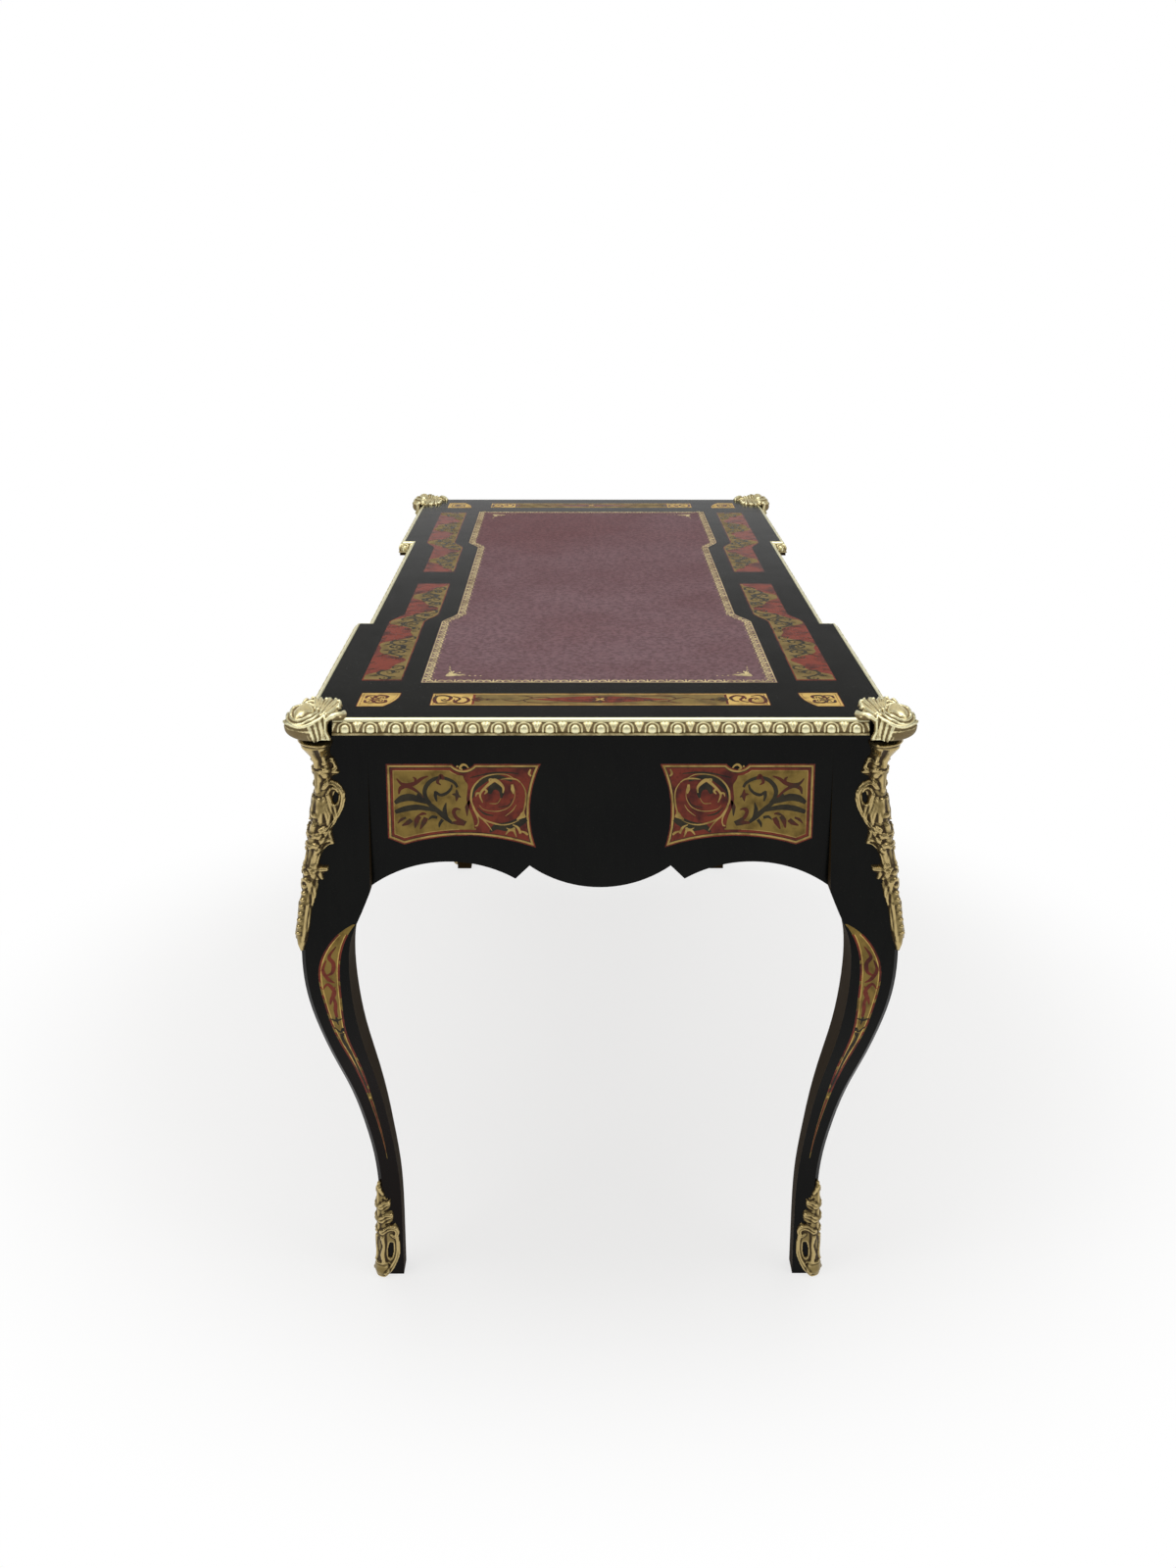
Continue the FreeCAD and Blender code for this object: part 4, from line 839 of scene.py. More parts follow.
def end_panel_shellwork():
    """The brass and horn on the shell half of an end panel, from the panel's middle."""
    brass = [
        bent([(-59, 34.5), (-49.5, 39.5), (-34.5, 39.5), (-22.5, 35.5), (-13.5, 27), (-9.5, 18.5),
              (-8.5, 7), (-12.5, -5)], (0.4, 0.6, 0.9, 1.1, 1.1)),
        bent([(-12.5, -5), (-19.5, -14.5), (-30, -20), (-43.5, -23.5), (-55.5, -22), (-64.5, -17.5)],
             (1.1, 1, 0.3)),
        bent([(-67.5, 29), (-71.5, 22), (-73, 14.5), (-72.5, 5), (-70.5, -5), (-67, -12)],
             (0.4, 0.8, 1, 0.5)),
        bent([(-67, 29.5), (-61.5, 33.5), (-52.5, 34.5), (-43.5, 33.5)], (0.5, 0.8, 1, 0.3)),
        bent([(-74.5, -10), (-69.5, -12), (-62, -17)], (2.4, 3.1, 0.7)),
        bent([(-71, -7), (-68, -10), (-65, -15)], (0.7, 1.5, 0.8)),
        bent([(-57, 27), (-57.5, 21), (-58.5, 15.5)], (1.2, 2.2, 0.5)),
        bent([(-46, 16.5), (-46.5, 23), (-42.5, 28.5), (-36.5, 32.5), (-31.5, 29), (-25, 23),
              (-19, 14.5), (-22, 4.5)], (0.7, 1.4, 2.2, 2.0, 1.5, 1.3, 0.5)),
        bent([(-31.5, 29.5), (-30.5, 33.5), (-37.5, 33.5)], (1, 1, 0.3)),
        bent([(-24, 22), (-27, 18.5), (-24, 15)], (1, 1.4, 0.3)),
        bent([(-20, 16), (-15.5, 16), (-14, 12)], (1, 1.2, 0.3)),
        bent([(-16.5, -22), (-16, -14.5), (-10.5, -1.5), (-8, 10), (-9, 20.5)], (0.7, 0.8, 0.7, 0.5)),
        bent([(-16, -22), (-15, -24.5), (-12.5, -25)], (0.7, 0.8, 0.7)),
        bent([(-32.5, -31), (-27, -22.5), (-19.5, -14.5)], (0.3, 0.7, 0.5)),
        bent([(-77.5, -40), (-72.5, -34), (-66.5, -31.5)], (0.5, 1.5, 0.5)),
        bent([(-66.5, -34.5), (-63, -27), (-57, -23.5)], (1.5, 1.4, 0.5)),
        bent([(-61.5, -39), (-59, -32), (-58, -27)], (0.3, 1.4, 1)),
        bent([(-57.5, -30.5), (-53, -30.5), (-48.5, -36)], (1.4, 1.5, 0.5)),
        bent([(-60, -28), (-54, -29.5), (-49.5, -27.5)], (1.2, 1, 0.3)),
        bent([(-79, 46), (-77, 40.5), (-81, 36)], (0.8, 1.4, 0.5)),
        bent([(-61.5, 1.5), (-57, -5.5), (-48.5, -12.5)], (0.3, 0.5, 0.2)),
        bent([(-59.5, 22), (-59.5, 10), (-52.5, -1.5), (-39, -6.5), (-24, -4.5), (-18, 1)],
             (0.2, 0.4, 0.4, 0.2)),
        bent([(-43.5, 10), (-39, 3.5), (-30, 3.5)], (0.3, 0.5, 0.3)),
    ]
    horn = [
        bent([(-57, 31.5), (-43.5, 36), (-30, 35.5), (-17, 27), (-11, 19.5), (-10, 10)],
             (1, 2.8, 3.6, 3.0, 0.8)),
        bent([(-44, 10), (-44.5, 19.5), (-39, 25), (-33, 23), (-30, 15.5)], (1, 3.6, 4.6, 4.0, 2)),
        bent([(-77.5, -17), (-75.5, -12.5), (-69, -17), (-61.5, -22), (-49.5, -26), (-37.5, -26),
              (-30, -33)], (1.7, 4.2, 5.4, 5.8, 5.6, 3.8, 1)),
        bent([(-64.5, 40.5), (-49.5, 42), (-31.5, 41), (-7.5, 35.5)], (0.5, 1, 1.0, 0.5)),
        bent([(-57.5, 10), (-52.5, 1), (-40.5, -1.5)], (0.4, 0.7, 0.4)),
        bent([(-34.5, -12), (-24, -9.5), (-15.5, -1.5)], (0.5, 1.2, 0.3)),
    ]
    return brass, horn


def divider():
    """The curve that parts the brass half of an end panel from its shell half."""
    line = [(-2, 54), (-2, 36.5), (-6.5, 27), (-5.5, 17), (-5, 7.5), (-7.5, -1.5), (-11.5, -12),
            (-13.5, -22.5), (-14, -54)]
    return bent(line, (2.7, 1.9, 1.5, 2, 2.4, 1.6))


def half_of(loop, middle, cut):
    """The part of a loop outward of a cut that runs down across it, about its middle."""
    line = [(x + middle[0], y + middle[1]) for x, y in cut.points]
    xs, ys = zip(*reversed(line))
    outer = from_widest_gap([(x, y) for x, y in loop if x > np.interp(y, ys, xs) + 0.3])
    foot, head = outer[0][1], outer[-1][1]
    return outer + [(x, y) for x, y in line if foot + 0.5 < y < head - 0.5]


def dress_end_panel():
    """Lays the marquetry of one end panel, to be mirrored to the others."""
    loops = face_outlines("frieze_inlay_panels", X, Y, Z)
    loop = nearest_outline(loops, *END_PANEL)
    origin = middle_of(loop)
    work = Marquetry(plane(Vector((PLANES["end_face"], 0, 0)), Y, Z))
    # The frame, edge line and brass scrolls of the end panel take the brass darkened as painted shade
    work.frame(loop, ("worn", 1.6, 3.9), ("horn", 4.0, 4.8))
    field, ground = drawn_in(loop, 5.2), drawn_in(loop, 8.0)
    work.plate("inlay", half_of(ground, origin, divider()))
    stems, red = end_panel_brasswork()
    brass, horn = end_panel_shellwork()
    edge = from_widest_gap([p for p in drawn_in(loop, 8.2) if p[0] > origin[0] + 6])
    work.lay("worn", [Stroke(edge, [0.45] * len(edge))], 0.07)
    work.lay("horn", wider(stems, 1.2) + horn, 0.08, field, origin=origin)
    work.lay("umber", wider(red, 1.25), 0.12, field, origin=origin)
    work.lay("shell", [divider()], 0.12, field, origin=origin)
    work.lay("worn", brass, 0.15, field, origin=origin)
    crest = bent([(-6, 1), (-3, 4.5), (1, 5), (4, 1), (1, -1)], (0.7, 1.3, 1.5, 0.7))
    work.lay("worn", [crest, dot((7, 3), 1.3)], 0.15, origin=(origin[0], extent(loop)[3] - 6.0))
    return work


def scroll_panel(length, height):
    """A run of scrolls from the middle of a long panel to one end, by finish."""
    unit = height * 0.5
    brass = [
        *volute((0.10 * length, -0.55 * unit), 0.5, 0.62 * unit, 1, 0.075 * unit, 1.8),
        *volute((0.40 * length, 0.5 * unit), -0.5, 0.6 * unit, -1, 0.07 * unit, 1.8),
        *volute((0.68 * length, -0.5 * unit), 0.5, 0.55 * unit, 1, 0.065 * unit, 1.7),
        bent([(0, -0.2 * unit), (0.12 * length, -0.6 * unit), (0.3 * length, -0.1 * unit)], (1.8, 1.2)),
        bent([(0.3 * length, -0.1 * unit), (0.42 * length, 0.52 * unit), (0.6 * length, 0)], 1.2),
        bent([(0.6 * length, 0), (0.7 * length, -0.5 * unit), (0.88 * length, 0)], (1.2, 0.8)),
    ]
    tip = (0.90 * length, 0.0)
    brass += [leaf(tip, a, 0.5 * unit, -a * 0.5, 0.07 * unit) for a in (-1.0, -0.5, 0.0, 0.5, 1.0)]
    horn = [
        *volute((0.16 * length, 0.62 * unit), -0.6, 0.36 * unit, -1, 0.05 * unit, 1.5, 0.2, 2),
        *volute((0.50 * length, -0.62 * unit), 0.6, 0.34 * unit, 1, 0.05 * unit, 1.5, 0.2, 2),
        *volute((0.76 * length, 0.6 * unit), -0.6, 0.30 * unit, -1, 0.045 * unit, 1.5, 0.2, 2),
    ]
    return brass, horn


def dress_long_panel(node, face, outward, middle):
    """Lays scrolls, mirrored about its middle, on a long panel of the back or of a drawer."""
    across = Z.cross(outward)
    loop = nearest_outline(face_outlines(node, outward, across, Z), *middle)
    left, right, foot, top = extent(loop)
    length, height = (right - left) / 2, top - foot
    origin = ((left + right) / 2, (top + foot) / 2 + 0.02 * height)
    work = Marquetry(plane(outward * face, across, Z))
    work.frame(loop, ("bright", 1.0, 3.6), ("horn", 3.8, 4.8), ("inlay", 5.4, 6.2))
    brass, horn = scroll_panel(length - 9.0, height - 13.0)
    field = drawn_in(loop, 6.8)
    work.lay("bright", mirrored(brass), 0.12, field, origin=origin)
    work.lay("horn", mirrored(horn), 0.08, field, origin=origin)
    work.lay("inlay", star((0, 0), 0.34 * height, 2.2, 8, 0.39), 0.14, origin=origin)
    return work


# Marquetry of the legs

LEG_PANELS = {"end": (310.0, 350.0), "side": (-712.0, 350.0)}
# Levels: the head of the lines along the edges, the knop that the scrolls end in, and the tail's tip
LEG_HEAD, LEG_KNOP, LEG_TAIL = 520, 275.0, 184.0
# Lines along a leg panel's edges: finish, how far in, half width and lift
LEG_MARGINS = (("shell", 1.2, 1.2, 0.09), ("bright", 3.0, 0.5, 0.11))
# Scrolls up a leg panel: finish, points as (share of the half width, level), and widths
LEG_SCROLLS = (
    ("shell", ((0.1, 505), (-0.25, 492), (0.35, 483), (0.3, 471), (-0.4, 466)), (0.5, 2.6, 2.4, 0.8)),
    ("shell", ((-0.45, 487), (-0.6, 474), (-0.1, 462), (0.5, 457)), (0.8, 2.2, 2.4, 0.6)),
    ("shell", ((-0.75, 448), (-0.2, 455), (0.35, 444), (-0.1, 434), (-0.35, 426)), (0.6, 2.3, 2.5, 0.7)),
    ("shell", ((0.5, 452), (0.1, 440), (0.25, 428), (0.1, 417), (0.1, 407)), (0.7, 1.8, 2.4, 1.6)),
    ("horn", ((-0.9, 405), (-0.1, 402), (0.8, 405)), (0.5, 1.8, 0.5)),
    ("horn", ((0.0, 407), (0.0, 402), (0.05, 395)), (1.2, 1.5, 0.4)),
    ("horn", ((-0.7, 392), (0.0, 384), (0.6, 390), (0.3, 380), (-0.3, 375)), (0.6, 1.6, 1.4, 0.8)),
    ("horn", ((0.0, 382), (-0.1, 368), (0.1, 352), (0.0, 330), (0.0, 300), (0.0, 281)),
     (1.4, 2.2, 1.5, 1.2, 0.6)),
)


def span_at(loop, level):
    """Where a loop is cut by a level, left and right."""
    cuts = []
    for (x0, y0), (x1, y1) in zip(loop, loop[1:] + loop[:1]):
        if (y0 - level) * (y1 - level) < 0:
            cuts.append(x0 + (x1 - x0) * (level - y0) / (y1 - y0))
    return min(cuts), max(cuts)


def dress_leg_face(face):
    """Lays the marquetry of one outer face, end or side, of the right back leg."""
    outward, across, lean = (X, Y, 1) if face == "end" else (Y, -X, -1)
    outlines = face_outlines("leg_inlay_panels", outward, across, Z)
    loop = nearest_outline(outlines, *LEG_PANELS[face])
    tree = surface_tree("leg_back_right", "leg_inlay_panels")
    work = Marquetry(on_surface(tree, outward, across))

    def at(share, level):
        low, high = span_at(loop, level)
        return ((low + high) / 2 - lean * share * (high - low) / 2, level)

    for finish, inward, width, lift in LEG_MARGINS:
        for side in (-1, 1):
            line = []
            for level in np.linspace(LEG_HEAD, LEG_KNOP + 8, 60):
                low, high = span_at(loop, level)
                half = (high - low) / 2
                line.append(((low + high) / 2 + side * max(0.1, half - inward), level))
            work.lay(finish, [Stroke(line, [width] * len(line))], lift)
    for finish, shares, widths in LEG_SCROLLS:
        work.lay(finish, [bent([at(*p) for p in shares], widths)], 0.13)
    work.lay("bright", [dot(at(0, LEG_KNOP), 1.6), dot(at(0.5, 384), 1.0)], 0.16)
    tail = [at(0, level) for level in np.linspace(LEG_KNOP - 4, LEG_TAIL, 24)]
    work.lay("shell", [Stroke(tail, np.linspace(1.3, 0.3, 24).tolist())], 0.10)
    return work


# Marquetry and leather of the top

# Spots near the middles of the panels in one quarter of the top
SIDE_PANEL, END_STRIP, MEDALLION = (316, 262), (669, 0), (669, 264)
# The wave that parts the brass of a side panel from its shell, and the panel's inner edge as a share
WAVE_LENGTH, INNER_MARGIN = 148.0, -0.94
SCROLL_PITCH, FLECK_PITCH = 25.0, 31.0
# The end strip is dull brass this far from its middle and polished beyond
STRIP_MIDDLE = 150
TOOLING_REPEAT = 24.0


def top_panel(*spot):
    """The top panel whose middle is nearest to a spot: its outline, and the work for it."""
    loop = nearest_outline(face_outlines("top_inlay_panels", Z, X, Y), *spot)
    return loop, Marquetry(plane(Z * PLANES["top"], X, Y))


def side_scroll():
    """One S-shaped scroll with its leaves, for the side panels of the top, 30 mm long."""
    return [
        bent([(-4, -1), (-2, -5), (-8, -7.5), (-13, -2), (-9, 6), (-1, 6.5), (5, 1)], (0.6, 1.3, 1.7, 1.4)),
        bent([(5, 1), (10, -5), (16.5, -4.5), (17, 2), (12.5, 3.5)], (1.4, 1.7, 1.3, 0.6)),
        leaf((-1, 6.5), 0.5, 12, 0.7, 1.4),
        leaf((-12, 2), 2.2, 7, -0.8, 1.2),
        leaf((9, -4.5), -2.0, 7, 0.8, 1.2),
        dot((13, -0.5), 1.2),
        dot((-7, -1), 1.3),
    ]


def dress_top_side_panel():
    """Lays one S-shaped side panel of the top: brass and shell that wave past each other."""
    loop, work = top_panel(*SIDE_PANEL)
    left, right = extent(loop)[:2]
    start, end = left + 4, right - 4
    turned_loop = [(y, x) for x, y in loop]
    spots = np.linspace(start, end, 130)
    sides = np.array([span_at(turned_loop, x) for x in spots])

    def at(x, share):
        low, high = (float(np.interp(x, spots, sides[:, k])) for k in (0, 1))
        return (low + high) / 2 + share * (high - low) / 2

    def wave(x):
        turn = (end - x) / WAVE_LENGTH * 2 * math.pi
        return 0.15 + 0.85 * math.sin(turn + 1.3) + 0.22 * math.sin(2.7 * turn)

    inner = [(x, at(x, INNER_MARGIN)) for x in spots]
    outer = [(x, at(x, max(-0.84, min(0.94, wave(x))))) for x in spots]
    work.plate("inlay", inner + outer[::-1])
    field = drawn_in(loop, 2.5)
    for i, x in enumerate(np.arange(start + 12, end - 8, SCROLL_PITCH)):
        rim = max(-0.8, min(0.9, wave(x)))
        reach = 0.5 * (at(x, rim) - at(x, INNER_MARGIN))
        if reach > 6:
            spot = (x, at(x, (rim + INNER_MARGIN) / 2))
            size = min(1.35, reach / 9.5)
            work.lay("horn", side_scroll(), 0.10, field, origin=spot, scale=size, flip=bool(i % 2))
    flecks = []
    for x in np.arange(start + 20, end - 16, FLECK_PITCH):
        flecks.append(leaf((x, at(x, 0.55 - wave(x) * 0.3)), 0.6, 13, 0.9, 1.5))
    work.lay("horn", flecks, 0.08, loop)
    return work


def dress_top_end_strip():
    """Lays one end strip: a gold outline, scrolls at its ends and a long lozenge between."""
    loop, work = top_panel(*END_STRIP)
    middle = middle_of(loop)
    work.frame(loop, ("bright", 0.8, 3.2))
    ring = drawn_in(loop, 4.2)
    for way in (-1, 1):
        work.plate("bright", [p for p in ring if way * p[1] > STRIP_MIDDLE], 0.04)
    work.plate("inlay", [p for p in ring if abs(p[1]) < STRIP_MIDDLE + 2], 0.04)
    heart = [(0, -84), (7, -52), (13, -16), (13, 16), (7, 52)]
    heart += [(-x, -y) for x, y in heart]
    work.plate("shell", [(middle[0] + x, middle[1] + y) for x, y in heart], 0.07)
    half = [
        bent([(13, -182), (16, -193), (2, -198), (-13, -196), (-15, -186), (-8, -179), (3, -181),
              (6, -187), (0, -190)], (1.4, 2.4, 2.3, 2.4, 1.9, 1.1)),
        bent([(-13, -177), (-3, -168), (11, -173), (15, -164), (6, -157), (-6, -160), (-8, -166)],
             (1.0, 2.4, 2.2, 1.2)),
        leaf((8, -176), 2.6, 9, 0.8, 1.5),
        leaf((0, -153), 0.5, 15, 0.8, 2.1),
        leaf((0, -153), 2.64, 15, -0.8, 2.1),
        leaf((0, -150), 0.95, 13, 0.5, 1.8),
        leaf((0, -150), 2.19, 13, -0.5, 1.8),
        bent([(0, -154), (0, -140), (0, -121)], (1.8, 1.2, 0.5)),
        leaf((0, -132), -0.7, 7, -0.6, 1.6),
        leaf((0, -132), 3.84, 7, 0.6, 1.6),
        dot((0, -186), 1.9),
    ]
    lozenge = [
        bent([(0, -118), (8, -104), (3, -92), (-6, -80), (-9, -66), (0, -54), (8, -42), (11, -20), (12, 0)],
             (0.5, 1.3, 1.1, 1.4, 1.0)),
        bent([(3, -92), (11, -86), (14, -72), (13, -50)], (0.9, 1.2, 0.5)),
        bent([(-6, -80), (-13, -88), (-14, -98)], (0.9, 1.2, 0.5)),
        leaf((0, -44), 1.2, 26, 0.6, 1.8),
        leaf((0, -18), 1.9, 18, -0.6, 1.6),
    ]
    for turn in (0.0, math.pi):
        work.lay("umber", half, 0.12, origin=middle, angle=turn)
        work.lay("umber", lozenge, 0.10, origin=middle, angle=turn)
    work.lay("umber", star((0, 0), 15, 3.0, 8), 0.14, origin=middle)
    work.lay("bright", star((0, 0), 8, 1.6, 4, 0.78), 0.18, origin=middle)
    return work


def dress_top_medallion():
    """Lays one corner medallion: a gold outline round two facing scrolls."""
    loop, work = top_panel(*MEDALLION)
    work.frame(loop, ("bright", 0.8, 3.4))
    work.plate("bright", drawn_in(loop, 4.0), 0.04)
    half = [
        bent([(3, -13), (14, -14), (17, -3), (9, 3), (5, -4), (10, -6)], (1.8, 3.0, 2.8, 2.2, 1.1)),
        bent([(17, 2), (15, 13), (4, 15)], (1.2, 2.6, 1.2)),
        leaf((2, 3), 0.9, 12, -0.6, 1.9),
        leaf((3, -9), -0.3, 9, 0.9, 1.4),
    ]
    x, y = middle_of(loop)
    strokes = mirrored(half) + [leaf((0, -8), 1.57, 22, 0.02, 1.8)]
    work.lay("umber", strokes, 0.12, drawn_in(loop, 4.4), origin=(x - 1.5, y + 3.5), scale=0.86)
    return work


def tooled_motif():
    """One repeat of the leather's gilt border: facing scrolls that scallop its inner edge."""
    scroll = [(-11, -3.6), (-11.5, 1), (-8, 4.2), (-4, 2.6), (-5.5, -0.4), (-8, 0.4)]
    return mirrored([bent(scroll, (0.6, 1.0, 1.0, 0.5))]) + [
        leaf((0, -4), 1.57, 9.5, 0.02, 1.3),
        leaf((-1, -4), 2.5, 5.5, -0.5, 0.9),
        leaf((1, -4), 0.64, 5.5, 0.5, 0.9),
        dot((0, 6.6), 0.9),
    ]


def corner_fleuron():
    """A sprig for a corner of the leather, growing along +x and +y."""
    arm = [
        bent([(1, 1), (9, 2), (17, 6), (25, 4)], (1.5, 1.2, 0.5)),
        leaf((8, 2.5), 0.95, 12, -1.0, 1.9),
        leaf((14, 5), -0.7, 7, 1.0, 1.4),
        leaf((17, 6), 0.8, 8, -1.0, 1.4),
        dot((30, 3), 1.5),
        dot((37, 2.5), 1.3),
        dot((44, 2), 1.1),
    ]
    other = redrawn(arm, lambda x, y: (y, x))
    return arm + other + [leaf((2, 2), 0.785, 18, 0.02, 2.6), dot((16.5, 16.5), 1.6)]


def dress_leather():
    """Gilds the leather's border with a line, a running motif and a sprig in each corner."""
    loop = face_outlines("leather_writing_surface", Z, X, Y)[0]
    work = Marquetry(plane(Z * PLANES["top"], X, Y))
    work.frame(loop, ("tooling", 0.8, 2.0))
    line = drawn_in(loop, 6.6)
    xs, ys = zip(*line, line[0])
    distances = run_lengths(np.array([xs, ys]).T)
    whole = distances[-1]
    repeats = round(whole / TOOLING_REPEAT)
    reach = whole / repeats

    def on_line(distance):
        return np.array([np.interp(distance % whole, distances, values) for values in (xs, ys)])

    for k in range(repeats):
        near, far = (on_line(reach * (k + 0.5) + step) for step in (-2, 2))
        way = math.atan2(*(far - near)[::-1])
        size = reach / TOOLING_REPEAT
        work.lay("tooling", tooled_motif(), 0.08, origin=tuple((near + far) / 2), angle=way, scale=size)
    corner_x, corner_y = max(xs) - 22, max(ys) - 22
    for sx, sy, turn in ((-1, -1, 0), (1, -1, math.pi / 2), (1, 1, math.pi), (-1, 1, -math.pi / 2)):
        work.lay("tooling", corner_fleuron(), 0.08, origin=(sx * corner_x, sy * corner_y), angle=turn)
    return work


# Raised work: carving laid over a surface


def dome(share):
    """1 at the middle of a rounded form, falling to 0 at its rim, where share is 1."""
    return np.sqrt(np.clip(1 - share * share, 0, 1))


PROFILES = {
    "round": dome,
    "hollow": lambda r: dome(r) * (1 - 0.6 * np.exp(-((r / 0.42) ** 2))),
    "vein": lambda r: dome(r) * (1 - 0.4 * np.exp(-((r / 0.2) ** 2))),
}
# The step along a stroke that is carved, and how far a casting's back lies under its rim, in millimetres
CARVING_STEP = 0.5
BACK_DEPTH = 0.5


def carve(u, v, strokes):
    """The rise of strokes over the points u, v, and which points they cover and pierce.

    Strokes of negative height are grooves; pierced strokes open the casting.
    """
    rise, groove = np.zeros(u.shape), np.zeros(u.shape)
    cover, open_ = np.zeros(u.shape, bool), np.zeros(u.shape, bool)
    for stroke in strokes:
        points, widths = np.array(stroke.points), np.array(stroke.widths)
        far = run_lengths(points)
        if len(points) > 2 and np.diff(far).max() > CARVING_STEP:
            even = np.linspace(0, far[-1], int(far[-1] / CARVING_STEP) + 2)
            points = np.stack([np.interp(even, far, points[:, k]) for k in (0, 1)], 1)
            widths = np.interp(even, far, widths)
        widest = widths.max()
        near = (u > points[:, 0].min() - widest) & (u < points[:, 0].max() + widest)
        near &= (v > points[:, 1].min() - widest) & (v < points[:, 1].max() + widest)
        if not near.any():
            continue
        away = np.hypot(u[near][:, None] - points[None, :, 0], v[near][:, None] - points[None, :, 1])
        ratio = (away / widths[None, :]).min(1)
        inside = ratio < 1
        if stroke.profile == "pierced":
            open_[near] |= inside
            continue
        raised = np.where(inside, stroke.height * PROFILES[stroke.profile](ratio), 0.0)
        if stroke.height < 0:
            groove[near] = np.minimum(groove[near], raised)
        else:
            rise[near] = np.maximum(rise[near], raised)
            cover[near] |= inside
    return rise + groove, cover & ~open_, open_


def grid(left, right, foot, top, pitch):
    """Points at an even pitch over a rectangle: how far across and how far up each lies."""
    return np.meshgrid(np.arange(left, right + pitch / 2, pitch), np.arange(foot, top + pitch / 2, pitch))


def thickness(away, rim, rise, reach):
    """A plate that is thin at its rim and rounds up with the distance from it."""
    return rim + rise * np.sqrt(np.clip(away / reach, 0, 1))


def hollowness(height, depth):
    """How far each point lies below its surroundings, below zero where it stands above them."""
    around = np.zeros_like(height)
    steps = [(i, j) for i in (-2, 0, 2) for j in (-2, 0, 2) if i or j]
    for step in steps:
        around += np.roll(height, step, (0, 1))
    return np.clip((around / len(steps) - height) / depth, -1, 1)


def relief(points, normals, solid, height, low, depth, shade=0.0):
    """A closed shell over a grid of surface points, raised by height where it is solid.

    Elsewhere it lies at low. Cells whose corners all lie there are left out, so the outline
    follows the carving. Hollows as deep as depth take the full painted shade with dirt, shade
    adds more painted shade, and the back takes painted shade too.
    """
    # How hollow each point is: the finish paints shade with dirt in hollows and a highlight on high parts
    hollow = np.clip(hollowness(np.where(solid, height, 0.0), depth) + shade, -1, 1)
    height = np.where(solid, height, low)
    keep = height > low
    cell = keep[:-1, :-1] | keep[1:, :-1] | keep[:-1, 1:] | keep[1:, 1:]
    used = np.zeros(height.shape, bool)
    for rows in (slice(None, -1), slice(1, None)):
        for columns in (slice(None, -1), slice(1, None)):
            used[rows, columns] |= cell
    count = int(used.sum())
    front = np.full(height.shape, -1)
    front[used] = np.arange(count)
    lift = np.maximum(height, low)
    top = (points + normals * (lift * MM)[..., None])[used]
    back = (points + normals * ((low - BACK_DEPTH) * MM))[used]
    padded = np.zeros((cell.shape[0] + 2, cell.shape[1] + 2), bool)
    padded[1:-1, 1:-1] = cell
    faces = []
    for i, j in zip(*np.nonzero(cell)):
        a, b, c, d = (int(front[p]) for p in ((i, j), (i, j + 1), (i + 1, j + 1), (i + 1, j)))
        faces += [(a, b, c, d), (a + count, d + count, c + count, b + count)]
        for open_side, (p, q) in (
            (padded[i, j + 1], (b, a)),
            (padded[i + 2, j + 1], (d, c)),
            (padded[i + 1, j], (a, d)),
            (padded[i + 1, j + 2], (c, b)),
        ):
            if not open_side:
                faces.append((p, q, q + count, p + count))
    stock = Stock()
    # The back, under the casting, takes painted shade
    deep = np.concatenate([hollow[used], np.full(count, 0.6)])
    stock.add([tuple(p) for p in np.concatenate([top, back]).tolist()], faces, deep.tolist())
    return stock


def cast_on_corners(stock, name, finish, node):
    """Sets a copy of a casting at each corner of the desk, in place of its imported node."""
    for corner, signs in CORNERS.items():
        copy = stock.copies([signs])
        copy.piece(f"{name}_{corner}", finish, "gilt_brass", CARCASS, (f"{node}_{corner}",))


# Knee and foot mounts

# A span is a mount's half width, foot and top, in millimetres
KNEE_SPAN, FOOT_SPAN = (32, 500, 757), (29, 0.6, 141)
# How far the leg's rounded corner lies inside its sharp one, and over what width a mount turns round it
LEG_ARRIS, CORNER_TURN = 3.5 * MM, 5.0
# Where the rays start that find the leg's corner and its faces, in metres outside them
PAST_LEG, NEAR_LEG = 0.2, 0.05
# A body's rows are a level, and the half width and height that it swells to there; an outline is one half
KNEE_BODY = (
    (500, 2, 3), (508, 5, 6), (520, 6.5, 8), (538, 6.5, 8), (550, 7, 7.5), (562, 7.5, 7.5),
    (575, 6.5, 7), (585, 8, 8), (592, 9.5, 9), (600, 9.5, 9), (610, 8.5, 8.5), (620, 9.5, 8.5),
    (630, 12, 9), (640, 14, 9.5), (650, 15.5, 9.5), (658, 17, 9.5), (668, 17, 9.5), (678, 15, 9),
    (690, 13, 8.5), (700, 12, 8.5), (708, 9, 9.5), (718, 11.5, 11), (728, 9.5, 12.5), (736, 8, 16),
    (742, 9, 21), (748, 12, 26), (754, 13.5, 27), (757, 12, 24),
)
KNEE_OUTLINE = (
    (0, 757), (11.5, 757), (13, 752), (10.5, 746), (9, 740), (10.5, 735), (15, 730), (17, 725),
    (18.5, 720.5), (21, 714.5), (17, 711.5), (12.5, 710), (11, 706.5), (14, 704.5), (19, 702.5),
    (24, 697.5), (28, 690), (29.4, 681), (28, 672), (25, 664), (21.5, 655), (18.3, 648), (17.6, 643.5),
    (19.5, 638), (23, 629), (17, 628.5), (12.5, 624), (9.8, 618), (8.8, 610), (9.2, 604.5),
    (14, 603.8), (21, 603.2), (21.8, 598), (17, 594.5), (15.8, 593.5), (18, 587), (12.5, 587),
    (11.5, 584.5), (13, 578), (13, 570), (11.5, 563), (10.5, 556), (9, 549), (9.5, 540), (9.5, 530),
    (8.5, 520), (6.5, 511), (3, 501), (0, 498),
)
